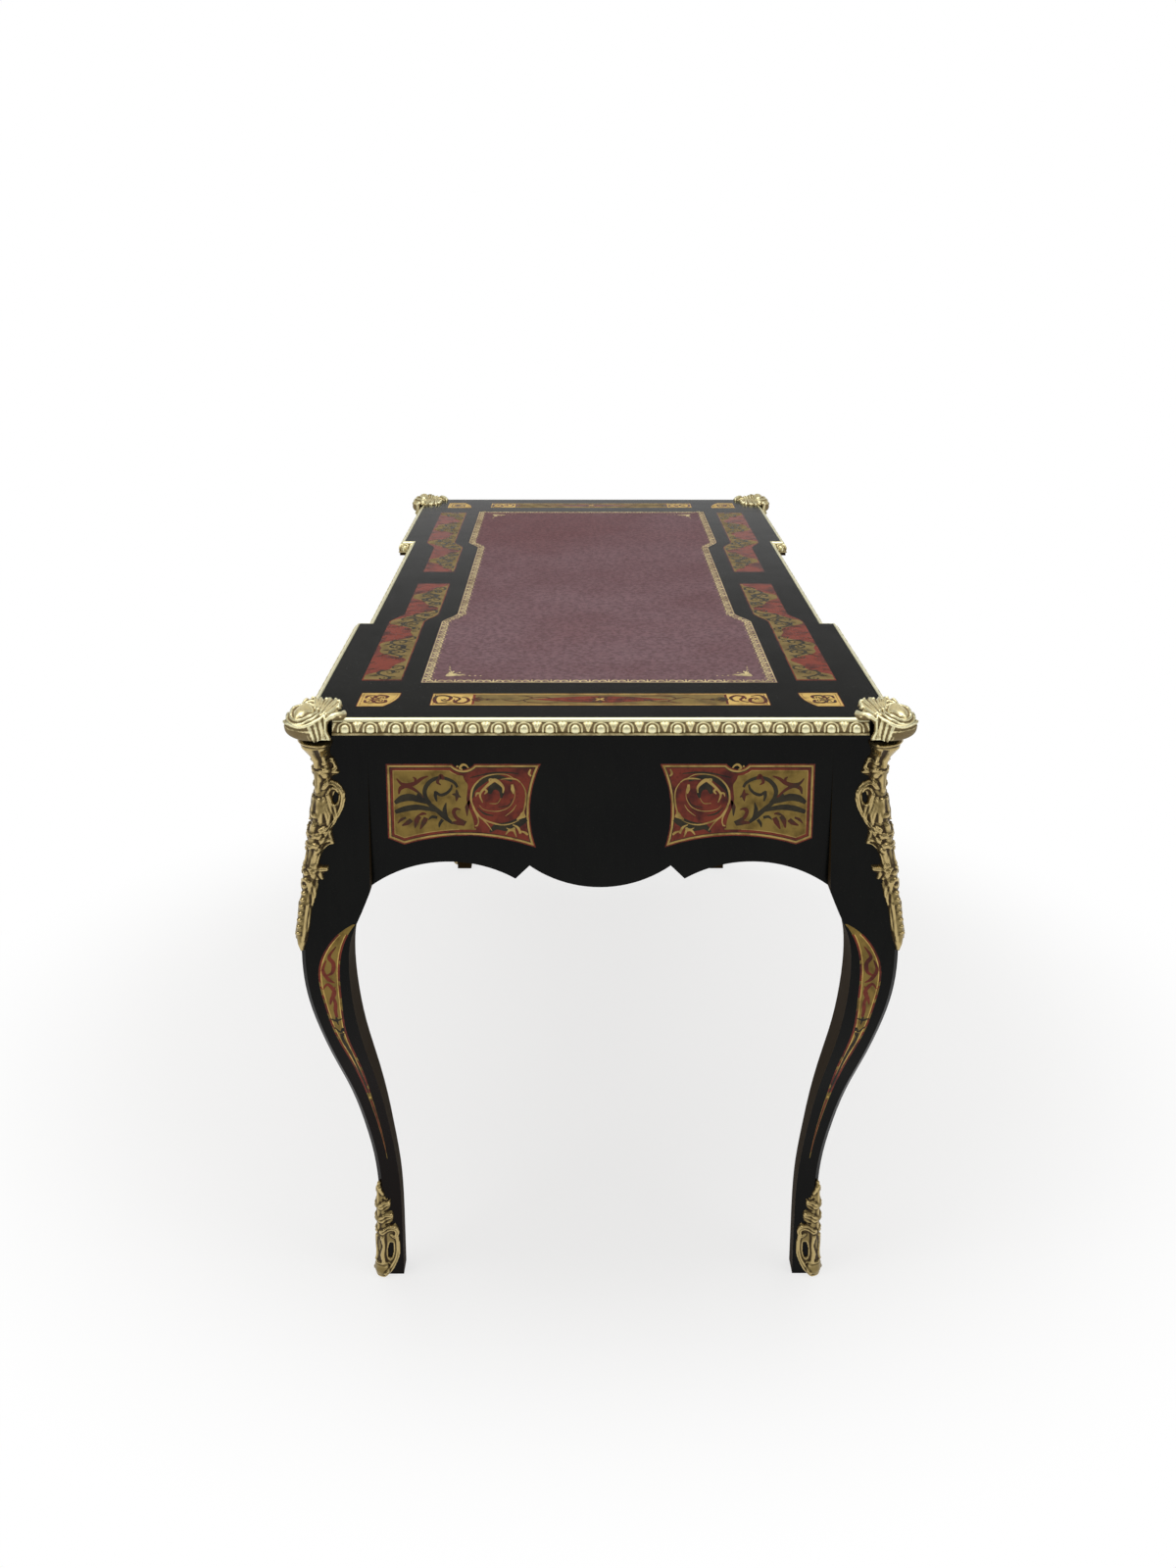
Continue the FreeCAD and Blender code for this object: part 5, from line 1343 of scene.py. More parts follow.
FOOT_BODY = (
    (0, 8.5, 8), (2, 9.5, 8.5), (8, 12, 9.8), (16, 11, 9), (24, 8, 5.5), (35, 7, 4.8), (55, 8, 4.8),
    (72, 9.5, 4.8), (85, 9, 4.4), (100, 8, 4.4), (115, 6, 4.2), (130, 4, 3.4), (140, 1.5, 1.8),
)
FOOT_OUTLINE = (
    (0, 141), (2.4, 138), (4, 128), (7, 122), (7.5, 118), (9, 114), (14.5, 112), (15, 104),
    (12.5, 99), (10.5, 95.5), (17, 95), (18, 85), (16, 80), (11.5, 74), (20, 76.5), (24, 71), (25, 64),
    (24, 56), (25.3, 46), (25.4, 36), (24.2, 28), (20, 18), (16, 8), (10, 0.6), (0, 0.6),
)
KNEE_FLOWERS = (
    (8.5, 648, 4.8), (14.5, 644, 3.4), (4, 641, 4.2), (10, 635, 4.4), (3.2, 629, 3.8), (14.5, 634.5, 3.0),
    (7, 623, 3.6),
)


def swelling(u, v, body):
    """A rounded body along v about u = 0, from its levels, half widths and heights."""
    levels, widths, heights = np.array(body).T
    half = np.interp(v, levels, widths)
    inside = (np.abs(u) < half) & (v >= levels[0]) & (v <= levels[-1])
    return np.where(inside, np.interp(v, levels, heights) * dome(u / half), 0.0)


def knee_strokes():
    """The carving of a knee mount: a cap, a pierced scroll, leaves, flowers and a long tail."""
    half = [
        bent([(0, 754.5), (7, 754), (11.5, 752)], 2.0, 2.2),
        bent([(3.4, 748), (2.6, 737), (4, 724)], (1.1, 1.7, 1.0), -2.4),
        bent([(8.5, 748), (6.6, 740), (7.5, 732)], (0.9, 1.3, 0.7), -1.8),
        bent([(5, 728), (11, 731), (16, 727), (16.5, 721), (12, 719)], (2.0, 3.0, 3.0, 1.6), 3.6, "hollow"),
        bent([(6, 720), (13, 717), (20, 714.8)], (2.2, 3.0, 0.8), 3.0, "vein"),
        bent([(3, 718), (7, 712), (9.5, 707)], (2, 3, 1.2), 2.8, "vein"),
        bent([(5, 698), (9, 703), (16, 701.5), (22.5, 696.5), (26.3, 689), (27, 681), (25.6, 672),
              (22.5, 663.5), (18, 655), (14, 649)], (2.2, 3.0, 3.0, 2.7, 2.3), 3.4, "hollow"),
        bent([(10, 693), (13.5, 696.5), (18, 695), (20.5, 690)], (1.6, 2.2, 1.2), 2.8),
        bent([(17.6, 679), (18.0, 684), (18.4, 689)], (2.4, 3.6, 2.6), 1.0, "pierced"),
        bent([(9, 690), (12.5, 680), (16.5, 671), (20, 662), (19, 653)], (1.8, 3.4, 4.0, 3.2, 1.0),
             3.4, "vein"),
        bent([(6, 686), (8, 674), (12, 664), (13, 654)], (1.8, 3.4, 3.6, 1.4), 3.0, "vein"),
        bent([(2, 684), (3.5, 670), (5, 657)], (1.8, 3.2, 1.2), 2.8, "vein"),
        bent([(11, 645), (15.5, 638), (22, 629.5)], (2.6, 3.4, 0.7), 2.8, "vein"),
        bent([(20, 629.5), (14, 627), (10.5, 620), (8.6, 612), (8.0, 604)], 1.5, 2.2),
        bent([(7, 599.5), (13, 600.5), (20, 600)], (2.6, 3.4, 2.6), 4.0),
        bent([(5, 606), (10, 598), (16.5, 588)], (2.2, 3, 0.8), 3.2, "vein"),
        bent([(3, 602), (7, 594), (11, 587)], (2, 2.8, 0.7), 2.8, "vein"),
        bent([(3, 586), (7, 577), (10.5, 567), (10, 557)], (2, 3.6, 3.4, 1.0), 2.6, "vein"),
        bent([(6, 559), (7, 547), (7, 533), (4.5, 515)], (1.8, 2.6, 2.6, 1.2), 2.0, "vein"),
        bent([(4.5, 622), (4.5, 612), (3, 602)], (1.4, 2.4, 1.0), 2.2, "vein"),
        bent([(9.5, 744), (8, 738), (9, 734)], 0.8, 1.4),
    ]
    for x, y, radius in KNEE_FLOWERS:
        half += [dot((x, y), radius, 3.6), dot((x, y), 0.3 * radius, 4.6)]
        out = 0.62 * radius
        for turn in np.arange(0.3, 6.2, 1.2566):
            petal = (x + out * math.cos(turn), y + out * math.sin(turn))
            half.append(dot(petal, 0.42 * radius, 3.9))
    spine = [
        bent([(0, 748), (0, 735), (0, 722)], (1.8, 2.0, 1.4), 1.6),
        bent([(0, 716), (0, 704), (0, 692)], (2.2, 3.4, 1.6), 2.4, "hollow"),
        dot((0, 664), 3.6, 3.4),
        bent([(0, 654), (0, 640), (0, 625)], (2.2, 3.2, 1.8), 2.6, "vein"),
    ]
    beads = [dot((0, 596 - 8.0 * k), 3.0 - 0.12 * k, 2.2) for k in range(10)]
    grooves = [
        bent([(6.5, 709), (3, 704), (4.5, 696)], (0.5, 0.9, 0.5), -1.6),
        bent([(7, 652), (3, 653), (0, 655)], 0.8, -1.5),
        bent([(16, 650), (19, 656), (22, 660)], (0.4, 0.7, 0.4), -1.4),
    ]
    return mirrored(half + grooves) + spine + beads


def foot_strokes():
    """The carving of a foot mount: slotted leaves over a pierced scroll and a ball toe."""
    half = [
        bent([(1, 133), (3.4, 126), (6.5, 120)], (1.2, 2.2, 0.8), 2.2),
        bent([(3, 103), (8, 107.5), (13.5, 107.5)], (4.0, 4.2, 2.6), 3.0, "vein"),
        bent([(3, 84), (9, 88.5), (16, 89)], (4.6, 5.0, 3.0), 3.2, "vein"),
        bent([(4, 66), (12, 71), (19.5, 70), (22.5, 64), (19, 59), (14.5, 62)], (3.6, 3.4, 2.8, 2.6, 1.6),
             3.4, "hollow"),
        bent([(21.5, 60), (23, 48), (23, 37), (20.5, 25), (15, 14), (9, 6)], (2.0, 2.4, 3.0, 3.8, 3.6),
             3.6, "hollow"),
        bent([(3.6, 58), (5.4, 45), (3.6, 32), (5, 22)], (2.2, 1.6, 2.4, 2.0), 2.8),
        bent([(12, 28), (13, 37), (14, 47)], (2.4, 4.0, 2.6), 1.0, "pierced"),
        bent([(5, 114), (9, 111), (12.5, 112)], 0.8, -2.2),
        bent([(7, 96), (11, 97), (14, 99)], 0.9, -2.4),
        bent([(8, 76.5), (14, 77.5), (21, 77)], 0.9, -2.4),
        bent([(0.5, 20), (8, 20.5), (12, 18)], 1.1, 1.6),
    ]
    spine = [
        bent([(0, 138), (0, 120), (0, 95), (0, 70)], (1.0, 1.8, 2.0, 1.4), 1.6),
        bent([(-9, 6), (-4, 3), (4, 3), (9, 6)], 1.0, -1.2),
    ]
    return mirrored(half) + spine


def leg_corner_grid(width, foot, top, pitch):
    """A grid of points and normals round the outer corner of the right back leg.

    Columns run round the corner, from the long side's face to the end's; u is 0 on
    the corner. Rows run up the leg; v is the height. Both are in millimetres.
    """
    tree = surface_tree("leg_back_right")
    u, v = grid(-width, width, foot, top, pitch)
    points, normals = np.zeros((*u.shape, 3)), np.zeros((*u.shape, 3))
    diagonal = (X + Y).normalized()
    for i in range(u.shape[0]):
        start = Vector((PLANES["end_face"], PLANES["side_face"], v[i, 0] * MM)) + diagonal * PAST_LEG
        corner = tree.ray_cast(start, -diagonal)[0] + diagonal * LEG_ARRIS
        for j in range(u.shape[1]):
            across = u[i, j]
            turn = 0.5 + 0.5 * math.tanh(across / CORNER_TURN)
            normal = Vector((turn, 1 - turn, 0)).normalized()
            aim = corner - (X if across < 0 else Y) * (abs(across) * MM)
            found = tree.ray_cast(aim + normal * NEAR_LEG, -normal)[0]
            points[i, j] = found if found is not None else aim
            normals[i, j] = normal
    return u, v, points, normals


def cast_leg_mount(name, body, outline, strokes, span, pitch):
    """Casts a mount round a leg's corner: a plate with a swelling body and carving on it."""
    u, v, points, normals = leg_corner_grid(*span, pitch)
    inside, away = within(np.abs(u), v, outline)
    away = np.where(np.abs(u) < 4, np.maximum(away, 4 - np.abs(u)), away)
    carved, _, pierced = carve(u, v, strokes)
    height = np.maximum(thickness(away, rim=0.6, rise=2.4, reach=4.0), swelling(u, v, body) + 1.0) + carved
    stock = relief(points, normals, inside & ~pierced, height, low=-0.7, depth=1.4)
    cast_on_corners(stock, f"{name}_casting", "bronze", f"{name}_mount")


# Corner mounts of the top

CROWN_PROFILE = (
    (-14, 0.4), (-8, 3.2), (-2, 4.8), (4, 4.8), (9, 3.0), (13, -0.6), (15.8, -6), (16.8, -11.5),
    (15.2, -16), (11, -19.4), (6, -21.4), (2.6, -22),
)
SKIRT_PROFILE = (
    (-14, 0.4), (-8, 1.8), (-2, 2.4), (1, 0.8), (2.4, -3), (2.8, -7), (3.3, -11), (4.4, -15),
    (5.8, -18.5), (7.4, -22),
)
CORNER_RADIUS = 16.0
# What the unrolled mount spans along the long side and along the end
CORNER_SPAN = (-42, 82, -42, 58)
# Where it starts to roll over the top's edge and where it ends under it, measured out from the edge
ROLL_START, ROLL_END = -14.0, 40.0
CORNER_OUTLINE = (
    (-42, -42), (-42, 38), (-38, 37.5), (-28, 33.5), (-14, 33.5), (-8, 36), (-5, 43), (-1, 49),
    (8, 52.5), (18, 53.5), (26, 51), (23, 45), (16, 40.5), (11, 36.5), (17, 35), (25, 38), (32, 41.5),
    (37, 40), (42, 43.5), (48, 40.5), (54, 43.5), (60, 39.5), (66, 41), (69, 36.5), (76, 35),
    (74, 28.5), (79, 24), (75, 19), (80, 13), (75, 8), (78, 2), (72, -2), (73, -9), (66, -12),
    (63, -26), (66, -42),
)
CORNER_RIM = (
    (72, 1.5), (77, 7.5), (77.5, 14), (76.5, 20.5), (75, 27), (71.5, 33), (65, 38), (57, 40.5), (49, 41),
    (41, 41),
)


def around_corner(distance, share):
    """A point at a distance outside the top's rounded corner, from its long side to its end."""
    angle = -math.pi / 2 - share * math.pi / 2
    reach = CORNER_RADIUS + distance
    return (CORNER_RADIUS + reach * math.cos(angle), CORNER_RADIUS + reach * math.sin(angle))


def corner_strokes():
    """The carving of a corner mount, unrolled about the corner: x runs along the long side."""
    strokes = [
        bent([(-2, 3.5), (8, 4), (20, 5.5), (33, 4.5)], (5.0, 8.0, 8.6, 5.0), 4.2),
        bent([(13, -7), (1, -5), (-6.5, 1), (-8, 7), (-6, 13), (-1, 17.5), (9, 19), (28, 17), (40, 10),
              (44, 1), (36, -5), (24, -8), (13, -7)], 1.35, 2.9),
        bent([(26, -13), (12, -11.5), (1, -10), (-8.5, -3), (-12, 7), (-10, 14), (-6.5, 19), (-1.5, 22),
              (9, 24), (24, 22.5), (35, 17)], (0.8, 1.4, 1.5, 1.4, 1.0), 2.5),
        bent([(20, -20), (4, -15), (-7, -6.5), (-13, 1), (-15, 8.5), (-14, 14.5), (-11, 19), (-8, 24),
              (-4, 29)], (1.0, 1.7, 1.9, 1.9, 1.5), 2.7),
        bent([around_corner(20.5, s) for s in (0.2, 0.5, 0.8, 0.98)] + [(-19.5, 15)], (0.6, 0.9, 0.7), 1.2),
        bent([(-14, 13.5), (-20, 15.5), (-27, 17.5), (-34, 18.5), (-41, 18.5)], (1.3, 1.5, 1.7), 2.1),
        bent([(-12, 18.5), (-20, 20.5), (-29, 22), (-41, 24)], (1.2, 1.5, 1.7), 2.1),
        bent([(-8, 24), (-17, 25.5), (-27, 27.5), (-41, 30.5)], (1.6, 2.2, 2.6), 2.4, "hollow"),
        bent([(2, 30), (-6, 30.5), (-14, 31.2), (-25, 31.2), (-34, 34), (-41, 36.5)],
             (1.2, 1.8, 2.0, 2.2), 2.8),
        bent([(-9, 33), (-5, 38), (3, 43.5), (12, 48), (22, 50.5)], (1.8, 3.0, 4.4, 4.6, 2.4), 3.4),
        bent([(-4, 34.5), (3, 38.5), (12, 42.5)], (0.5, 0.8, 0.5), -1.2),
        bent([(52, -4), (59, 2), (55, 9), (46, 10), (45, 4), (50, 3)], (1.4, 2.2, 2.2, 1.2), 3.2, "hollow"),
        bent([(34, 13), (50, 12), (62, 9), (74, 5)], (1.6, 4.0, 3.8, 2.2), 2.9, "vein"),
        bent([(30, 18.5), (50, 17.5), (64, 16.5), (76, 14)], (1.6, 4.2, 4.2, 2.4), 3.1, "vein"),
        bent([(25, 23), (46, 24), (62, 25), (75, 25)], (1.6, 4.2, 4.2, 2.4), 3.1, "vein"),
        bent([(17, 27), (38, 30), (56, 33), (70, 34)], (1.6, 4.0, 4.0, 2.4), 2.9, "vein"),
        bent([(10, 30), (26, 33.5), (42, 37.5), (58, 39.5)], (1.4, 3.4, 3.2, 2.0), 2.6, "vein"),
        bent([(44, -41), (42, -28), (42, -18), (46, -11)], (2.2, 1.8, 1.4), 2.2),
        bent([(52, -41), (49, -28), (48, -18), (54, -10)], (2.2, 1.8, 1.4), 2.2),
        bent([(60, -41), (55, -28), (54, -18), (60, -10), (70, -6)], (2.4, 2.0, 2.4), 2.8),
    ]
    strokes += [dot(spot, 2.5, 3.3) for spot in CORNER_RIM]
    return strokes + [dot(spot, 1.3, 2.4) for spot in ((-0.5, 26), (5, 27), (11, 27.2))]


def rolled_corner(a, b):
    """The bare surface of a corner mount: flat on the top, rolled over its edge and down.

    a runs in from the end and b from the long side; both are measured along the surface.
    """
    from_a, from_b = np.maximum(CORNER_RADIUS - a, 0), np.maximum(CORNER_RADIUS - b, 0)
    outer = np.hypot(from_a, from_b)
    distance = outer + np.minimum(CORNER_RADIUS - np.minimum(a, b), 0) - CORNER_RADIUS
    size = np.maximum(outer, 1e-6)
    share = np.clip((distance - ROLL_START) / (ROLL_END - ROLL_START), 0, 1)
    sections = []
    for profile in (CROWN_PROFILE, SKIRT_PROFILE):
        line = np.array(bent(profile, 1.0).points)
        far = run_lengths(line)
        sections.append([np.interp(share * far[-1], far, line[:, k]) for k in (0, 1)])
    plain = np.clip(np.maximum((b - 13) / 18, (a - 28) / 18), 0, 1)
    plain = plain * plain * (3 - 2 * plain)
    out, rise = (crown + (skirt - crown) * plain for crown, skirt in zip(*sections))
    rolled = distance > ROLL_START
    shift = np.where(rolled, out - distance, 0.0)
    rise = np.where(rolled, rise, CROWN_PROFILE[0][1])
    x = PLANES["mould_end"] - (a - from_a / size * shift) * MM
    y = PLANES["mould_front"] - (b - from_b / size * shift) * MM
    return np.stack([x, y, PLANES["top"] + rise * MM], -1), distance


def cast_corner_mounts(pitch):
    """Casts the mounts that wrap the corners of the top."""
    a, b = grid(*CORNER_SPAN, pitch)
    points, distance = rolled_corner(a, b)
    down, across = np.gradient(points, axis=(0, 1))
    normals = np.cross(across, down)
    normals /= np.maximum(np.linalg.norm(normals, axis=-1, keepdims=True), 1e-9)
    inside, away = within(a, b, CORNER_OUTLINE)
    solid = inside & (distance < ROLL_END)
    height = thickness(away, rim=0.5, rise=1.3, reach=5.0) + carve(a, b, corner_strokes())[0]
    # Painted shade on the skirt near the corner, where the mount rolls in under the top's edge
    shade = 0.55
    for past in (distance - 16.5, 14 - b, 40 - a):
        shade = shade * np.clip(past / 3.0, 0, 1)
    stock = relief(points, normals, solid, height, low=-1.5, depth=1.3, shade=shade)
    cast_on_corners(stock, "corner_casting", "gilt", "corner_mount")


# The edge moulding

# The length of one egg and dart, and the steps that it is cut in, in millimetres
EGG_PITCH, CUT_PITCH = 29.0, 0.95
# How deep the ground lies between the eggs, and how far in the moulding reaches, in millimetres
GROUND, MOULD_DEPTH = 0.9, 11.0
# How far a length runs on under the corner mounts, in metres
UNDER_MOUNTS = 14 * MM


def moulding_section():
    """The outline from its foot to its inner edge, inward and up: bead, slot, ovolo, fillet."""
    bead = [(2.6, 0.0), (0.9, 0.1), (0.1, 0.7), (0.0, 1.4), (0.3, 2.1), (1.2, 2.6), (2.6, 2.8)]
    slot = [(3.0, 3.2), (3.0, 3.9)]
    angles = np.linspace(0.0, 1.45, 14)
    ovolo = [(0.8 + 5.6 * (1 - math.cos(t)), 4.2 + 10.0 * math.sin(t)) for t in angles]
    fillet = [(6.6, 14.5), (5.6, 14.9), (5.5, 15.6), (6.1, 16.8), (7.2, 17.9), (8.6, 18.7), (10.2, 19.0),
              (MOULD_DEPTH, 18.8)]
    return np.array(bead + slot + ovolo + fillet), len(bead + slot), len(ovolo)


def egg_and_dart(local, up):
    """The carving over one repeat: an egg under its round rim, and a ribbed dart between."""
    side, over = np.abs(local), np.maximum(up - 3.2, 0)
    egg = 2.8 * dome(np.hypot(side / 5.1, over / 6.2))
    rim = 2.2 * np.exp(-(((np.hypot(side / 7.6, over / 9.2) - 1.0) / 0.12) ** 2))
    between = EGG_PITCH / 2 - side
    reach = 1.3 + 4.6 * np.clip((up - 0.5) / 11.0, 0, 1) ** 1.1
    rib = 1.2 * np.exp(-((between / 0.7) ** 2)) + 0.5 * np.exp(-(((between - 0.62 * reach) / 0.5) ** 2))
    return np.maximum(np.maximum(egg, rim), np.maximum(2.2 * dome(between / reach) - rib, 0)) - GROUND


def carve_run(stock, start, end, start_mitre, end_mitre):
    """One carved length whose outer face runs from start to end."""
    start, end = Vector(start), Vector(end)
    way = (end - start).normalized()
    inward = Vector((-way.y, way.x, 0))
    length = (end - start).length / MM
    repeats = max(1, round(length / EGG_PITCH))
    outline, first, span = moulding_section()
    slopes = np.gradient(outline, axis=0)
    outward = np.stack([-slopes[:, 1], slopes[:, 0]], 1)
    outward /= np.linalg.norm(outward, axis=1, keepdims=True)
    steps = max(4, round(length / CUT_PITCH))
    s = np.linspace(0, length, steps + 1)[:, None]
    local = ((s * repeats / length) % 1.0 - 0.5) * EGG_PITCH
    up, carved = np.zeros(len(outline)), np.zeros(len(outline), bool)
    up[first : first + span] = np.linspace(0.5, 13.5, span)
    carved[first : first + span] = True
    height = np.where(carved, egg_and_dart(local, up), 0.0)
    height[[0, -1]] = np.where(carved, -GROUND, 0.0)
    # The slot and the line over the eggs take the most painted shade, the bead less, and the fillet a
    # painted highlight; the carved hollows take painted shade with dirt
    hollow = np.clip((0.15 - height) / 1.3, -0.5, 1.0) * carved
    hollow[:, : first - 2] = 0.25
    hollow[:, first - 2 : first] = 1.0
    hollow[:, first + span] = 0.9
    hollow[:, first + span + 2 :] = -0.55
    foot = np.ones((steps + 1, 1))
    inner = np.concatenate([outline[:, 0] + outward[:, 0] * height, MOULD_DEPTH * foot], 1)
    rise = np.concatenate([outline[:, 1] + outward[:, 1] * height, 0 * foot], 1)
    # The inner foot, hidden against the board, takes full painted shade
    hollow = np.concatenate([hollow, foot], 1)
    slide = inner * (start_mitre * (1 - s / length) - end_mitre * (s / length))
    reach = (s + slide) * MM
    xs, ys = (start[k] + way[k] * reach + inward[k] * inner * MM for k in (0, 1))
    points = np.stack([xs, ys, PLANES["mould_foot"] + rise * MM], -1).reshape(-1, 3)
    stock.add(points.tolist(), tube_faces(steps + 1, inner.shape[1]), hollow.reshape(-1).tolist())


def carve_edge_mouldings(step_x, recess):
    """The four carved mouldings, in the lengths that meet at the mounts and the steps."""
    y = -PLANES["mould_front"]
    middle, reach = y + recess, PLANES["mould_reach"] + UNDER_MOUNTS
    front, right = Stock(), Stock()
    turns = ((-reach, y, 0), (-step_x, y, 1), (-step_x, middle, -1), (step_x, middle, -1), (step_x, y, 1),
             (reach, y, 0))
    for start, end in zip(turns, turns[1:]):
        carve_run(front, (*start[:2], 0), (*end[:2], 0), start[2], end[2])
    end, end_reach = PLANES["mould_end"], PLANES["mould_end_reach"] + UNDER_MOUNTS
    carve_run(right, (end, -end_reach, 0), (end, end_reach, 0), 0, 0)
    signs = {"front": (1, 1), "back": (1, -1), "right": (1, 1), "left": (-1, 1)}
    for side, stock in (("front", front), ("back", front), ("right", right), ("left", right)):
        name = "edge_moulding_" + side
        whole = stock.copies([signs[side]])
        whole.piece("carved_" + name, "gilt", "gilt_brass", CARCASS, (name,))


# Drawer fittings

# The pitch of the points that carve a fitting, in millimetres as all sizes here but the inset
FITTING_PITCH = 0.6
ESCUTCHEON_OUTLINE = [
    (0, 20), (8, 17.5), (14, 13), (12, 6), (14.5, -2), (12, -11), (6, -15), (0, -21), (-6, -15), (-12, -11),
    (-14.5, -2), (-12, 6), (-14, 13), (-8, 17.5),
]
ROSETTE_INSET, ROSETTE_RADIUS = 14 * MM, 13.6
# A rosette's post: how far along it from the drawer, as a share, and its radius there
POST_SHARES = (
    (0.0, 4.6), (0.12, 5.6), (0.24, 3.4), (0.45, 3.0), (0.6, 3.6), (0.72, 5.2), (0.86, 5.6), (0.96, 4.2),
    (1.0, 1.6),
)
BAIL_RADIUS = 3.6
# Each collar's distance from the bail's middle and its radius, and the rounding of its edges
COLLARS = ((12.5, 5.0), (16.5, 4.4), (3.4, 4.6))
COLLAR_SECTION = ((-1.0, 1.0), (-0.6, 0.3), (0.0, 0.0), (0.6, 0.3), (1.0, 1.0))
COLLAR_HALF = 1.5


def cast_on_front(x, z, face, half_x, half_z, strokes, outline):
    """A small casting on a drawer's front, about a point in metres."""
    u, v = grid(-half_x, half_x, -half_z, half_z, FITTING_PITCH)
    inside, away = within(u, v, outline)
    carved, cover, pierced = carve(u, v, strokes)
    height = thickness(np.where(inside, away, 0.6), rim=0.6, rise=0.9, reach=1.2) + carved
    points = np.stack([x + u * MM, np.full(u.shape, -face), z + v * MM], -1)
    normals = np.broadcast_to(np.array([0.0, -1.0, 0.0]), points.shape)
    return relief(points, normals, (inside | cover) & ~pierced, height, low=-0.2, depth=1.0)


def escutcheon_strokes():
    """A cartouche of C scrolls with a shell above, a leaf below and a keyhole."""
    half = [
        bent([(3, 14), (9, 16), (13, 11), (11, 5), (7, 7)], (1.2, 1.9, 1.8, 1.0), 1.6, "hollow"),
        bent([(11, 5), (13.5, -2), (11, -9), (5, -12), (3, -8)], (1.2, 1.9, 1.9, 1.0), 1.6, "hollow"),
        leaf((4, -11), -1.2, 9, -0.6, 1.7, 1.4, "vein"),
        leaf((1, 13), 1.2, 7, -0.5, 1.6, 1.4, "vein"),
        leaf((3, 13), 0.6, 6, -0.6, 1.3, 1.3, "vein"),
    ]
    return mirrored(half) + [
        leaf((0, -10), -1.57, 10, 0.02, 1.8, 1.6, "vein"),
        leaf((0, 13), 1.57, 7, 0.02, 1.7, 1.5, "vein"),
        dot((0, 1.5), 3.1, 1.0, "pierced"),
        bent([(0, 0), (0, -3), (0, -6)], 1.3, 1.0, "pierced"),
    ]


def rosette_strokes():
    """A flower of eight veined petals inside a rim."""
    petals = [leaf((0, 0), math.pi / 4 * k, 12.0, 0.05, 3.4, 1.5, "vein") for k in range(8)]
    small = [leaf((0, 0), math.pi / 4 * (k + 0.5), 12.4, 0.05, 1.5, 0.9) for k in range(8)]
    rim = ellipse((0, 0), 13.0, 13.0)
    rim.append(rim[0])
    return petals + small + [dot((0, 0), 4.6, 2.4), Stroke(rim, [0.7] * len(rim), 0.8)]


def turned(stock, centres, radii, sides=20):
    """A closed tube of changing radius along a line of centres."""
    rings = []
    for i, centre in enumerate(centres):
        way = (centres[min(i + 1, len(centres) - 1)] - centres[max(i - 1, 0)]).normalized()
        side = way.cross(Y if abs(way.y) < 0.9 else Z).normalized()
        other = way.cross(side)
        for k in range(sides):
            angle = 2 * math.pi * k / sides
            rings.append(tuple(centre + (side * math.cos(angle) + other * math.sin(angle)) * radii[i]))
    stock.add(rings, tube_faces(len(centres), sides))


def dress_drawer(side):
    """The rosettes, escutcheon and bail collars of a drawer, which ride on it."""
    drawer = side + "_drawer"
    low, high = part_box(drawer + "_escutcheon")
    middle, face = (low + high) / 2, -high.y
    plate = cast_on_front(middle.x, middle.z, face, 17, 22.5, escutcheon_strokes(), ESCUTCHEON_OUTLINE)
    plate.piece(side + "_escutcheon_casting", "gilt", "gilt_brass", drawer, (drawer + "_escutcheon",))
    if side == "centre":
        return
    low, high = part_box(drawer + "_pull_rosettes")
    level = (low.z + high.z) / 2
    rosettes = Stock()
    for x in (low.x + ROSETTE_INSET, high.x - ROSETTE_INSET):
        outline = ellipse((0, 0), ROSETTE_RADIUS, ROSETTE_RADIUS)
        flower = cast_on_front(x, level, face, 14.4, 14.4, rosette_strokes(), outline)
        rosettes.add(flower.points, flower.faces, flower.hollows)
        spots = [Vector((x, -face + (low.y + face) * share, level)) for share, radius in POST_SHARES]
        turned(rosettes, spots, [radius * MM for share, radius in POST_SHARES])
    rosettes.piece(side + "_rosette_castings", "gilt", "gilt_brass", drawer, (drawer + "_pull_rosettes",))
    low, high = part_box(drawer + "_bail")
    grip = Vector((middle.x, (low.y + high.y) / 2, low.z + BAIL_RADIUS * MM))
    collars = Stock()
    for sign in (-1, 1):
        for reach, radius in COLLARS:
            spots = [grip + X * ((sign * reach + t * COLLAR_HALF) * MM) for t, less in COLLAR_SECTION]
            turned(collars, spots, [(radius - less) * MM for t, less in COLLAR_SECTION])
    collars.piece(side + "_bail_collars", "gilt", "gilt_brass", side + "_bail")


# Stage

FLOOR_HALF = 12.0
# Each lamp's name, place, aim, size and power
LAMPS = (
    ("over", (-0.3, 0.0, 3.4), (0, 0, 0.7), 3.0, 50),
    ("key", (1.6, -2.2, 2.9), (0.2, 0, 0.6), 1.8, 22),
    ("fill", (1.6, 2.2, 2.9), (0.2, 0, 0.6), 1.8, 16),
)
# The camera that was fitted to the photograph
SENSOR, LENS, SHIFT = 36.0, 35.97, (0.0025, -0.0851)
CAMERA_PLACE, YAW_PITCH_ROLL = (2.463, -0.026, 1.334), (0.218, 15.23, 0.054)


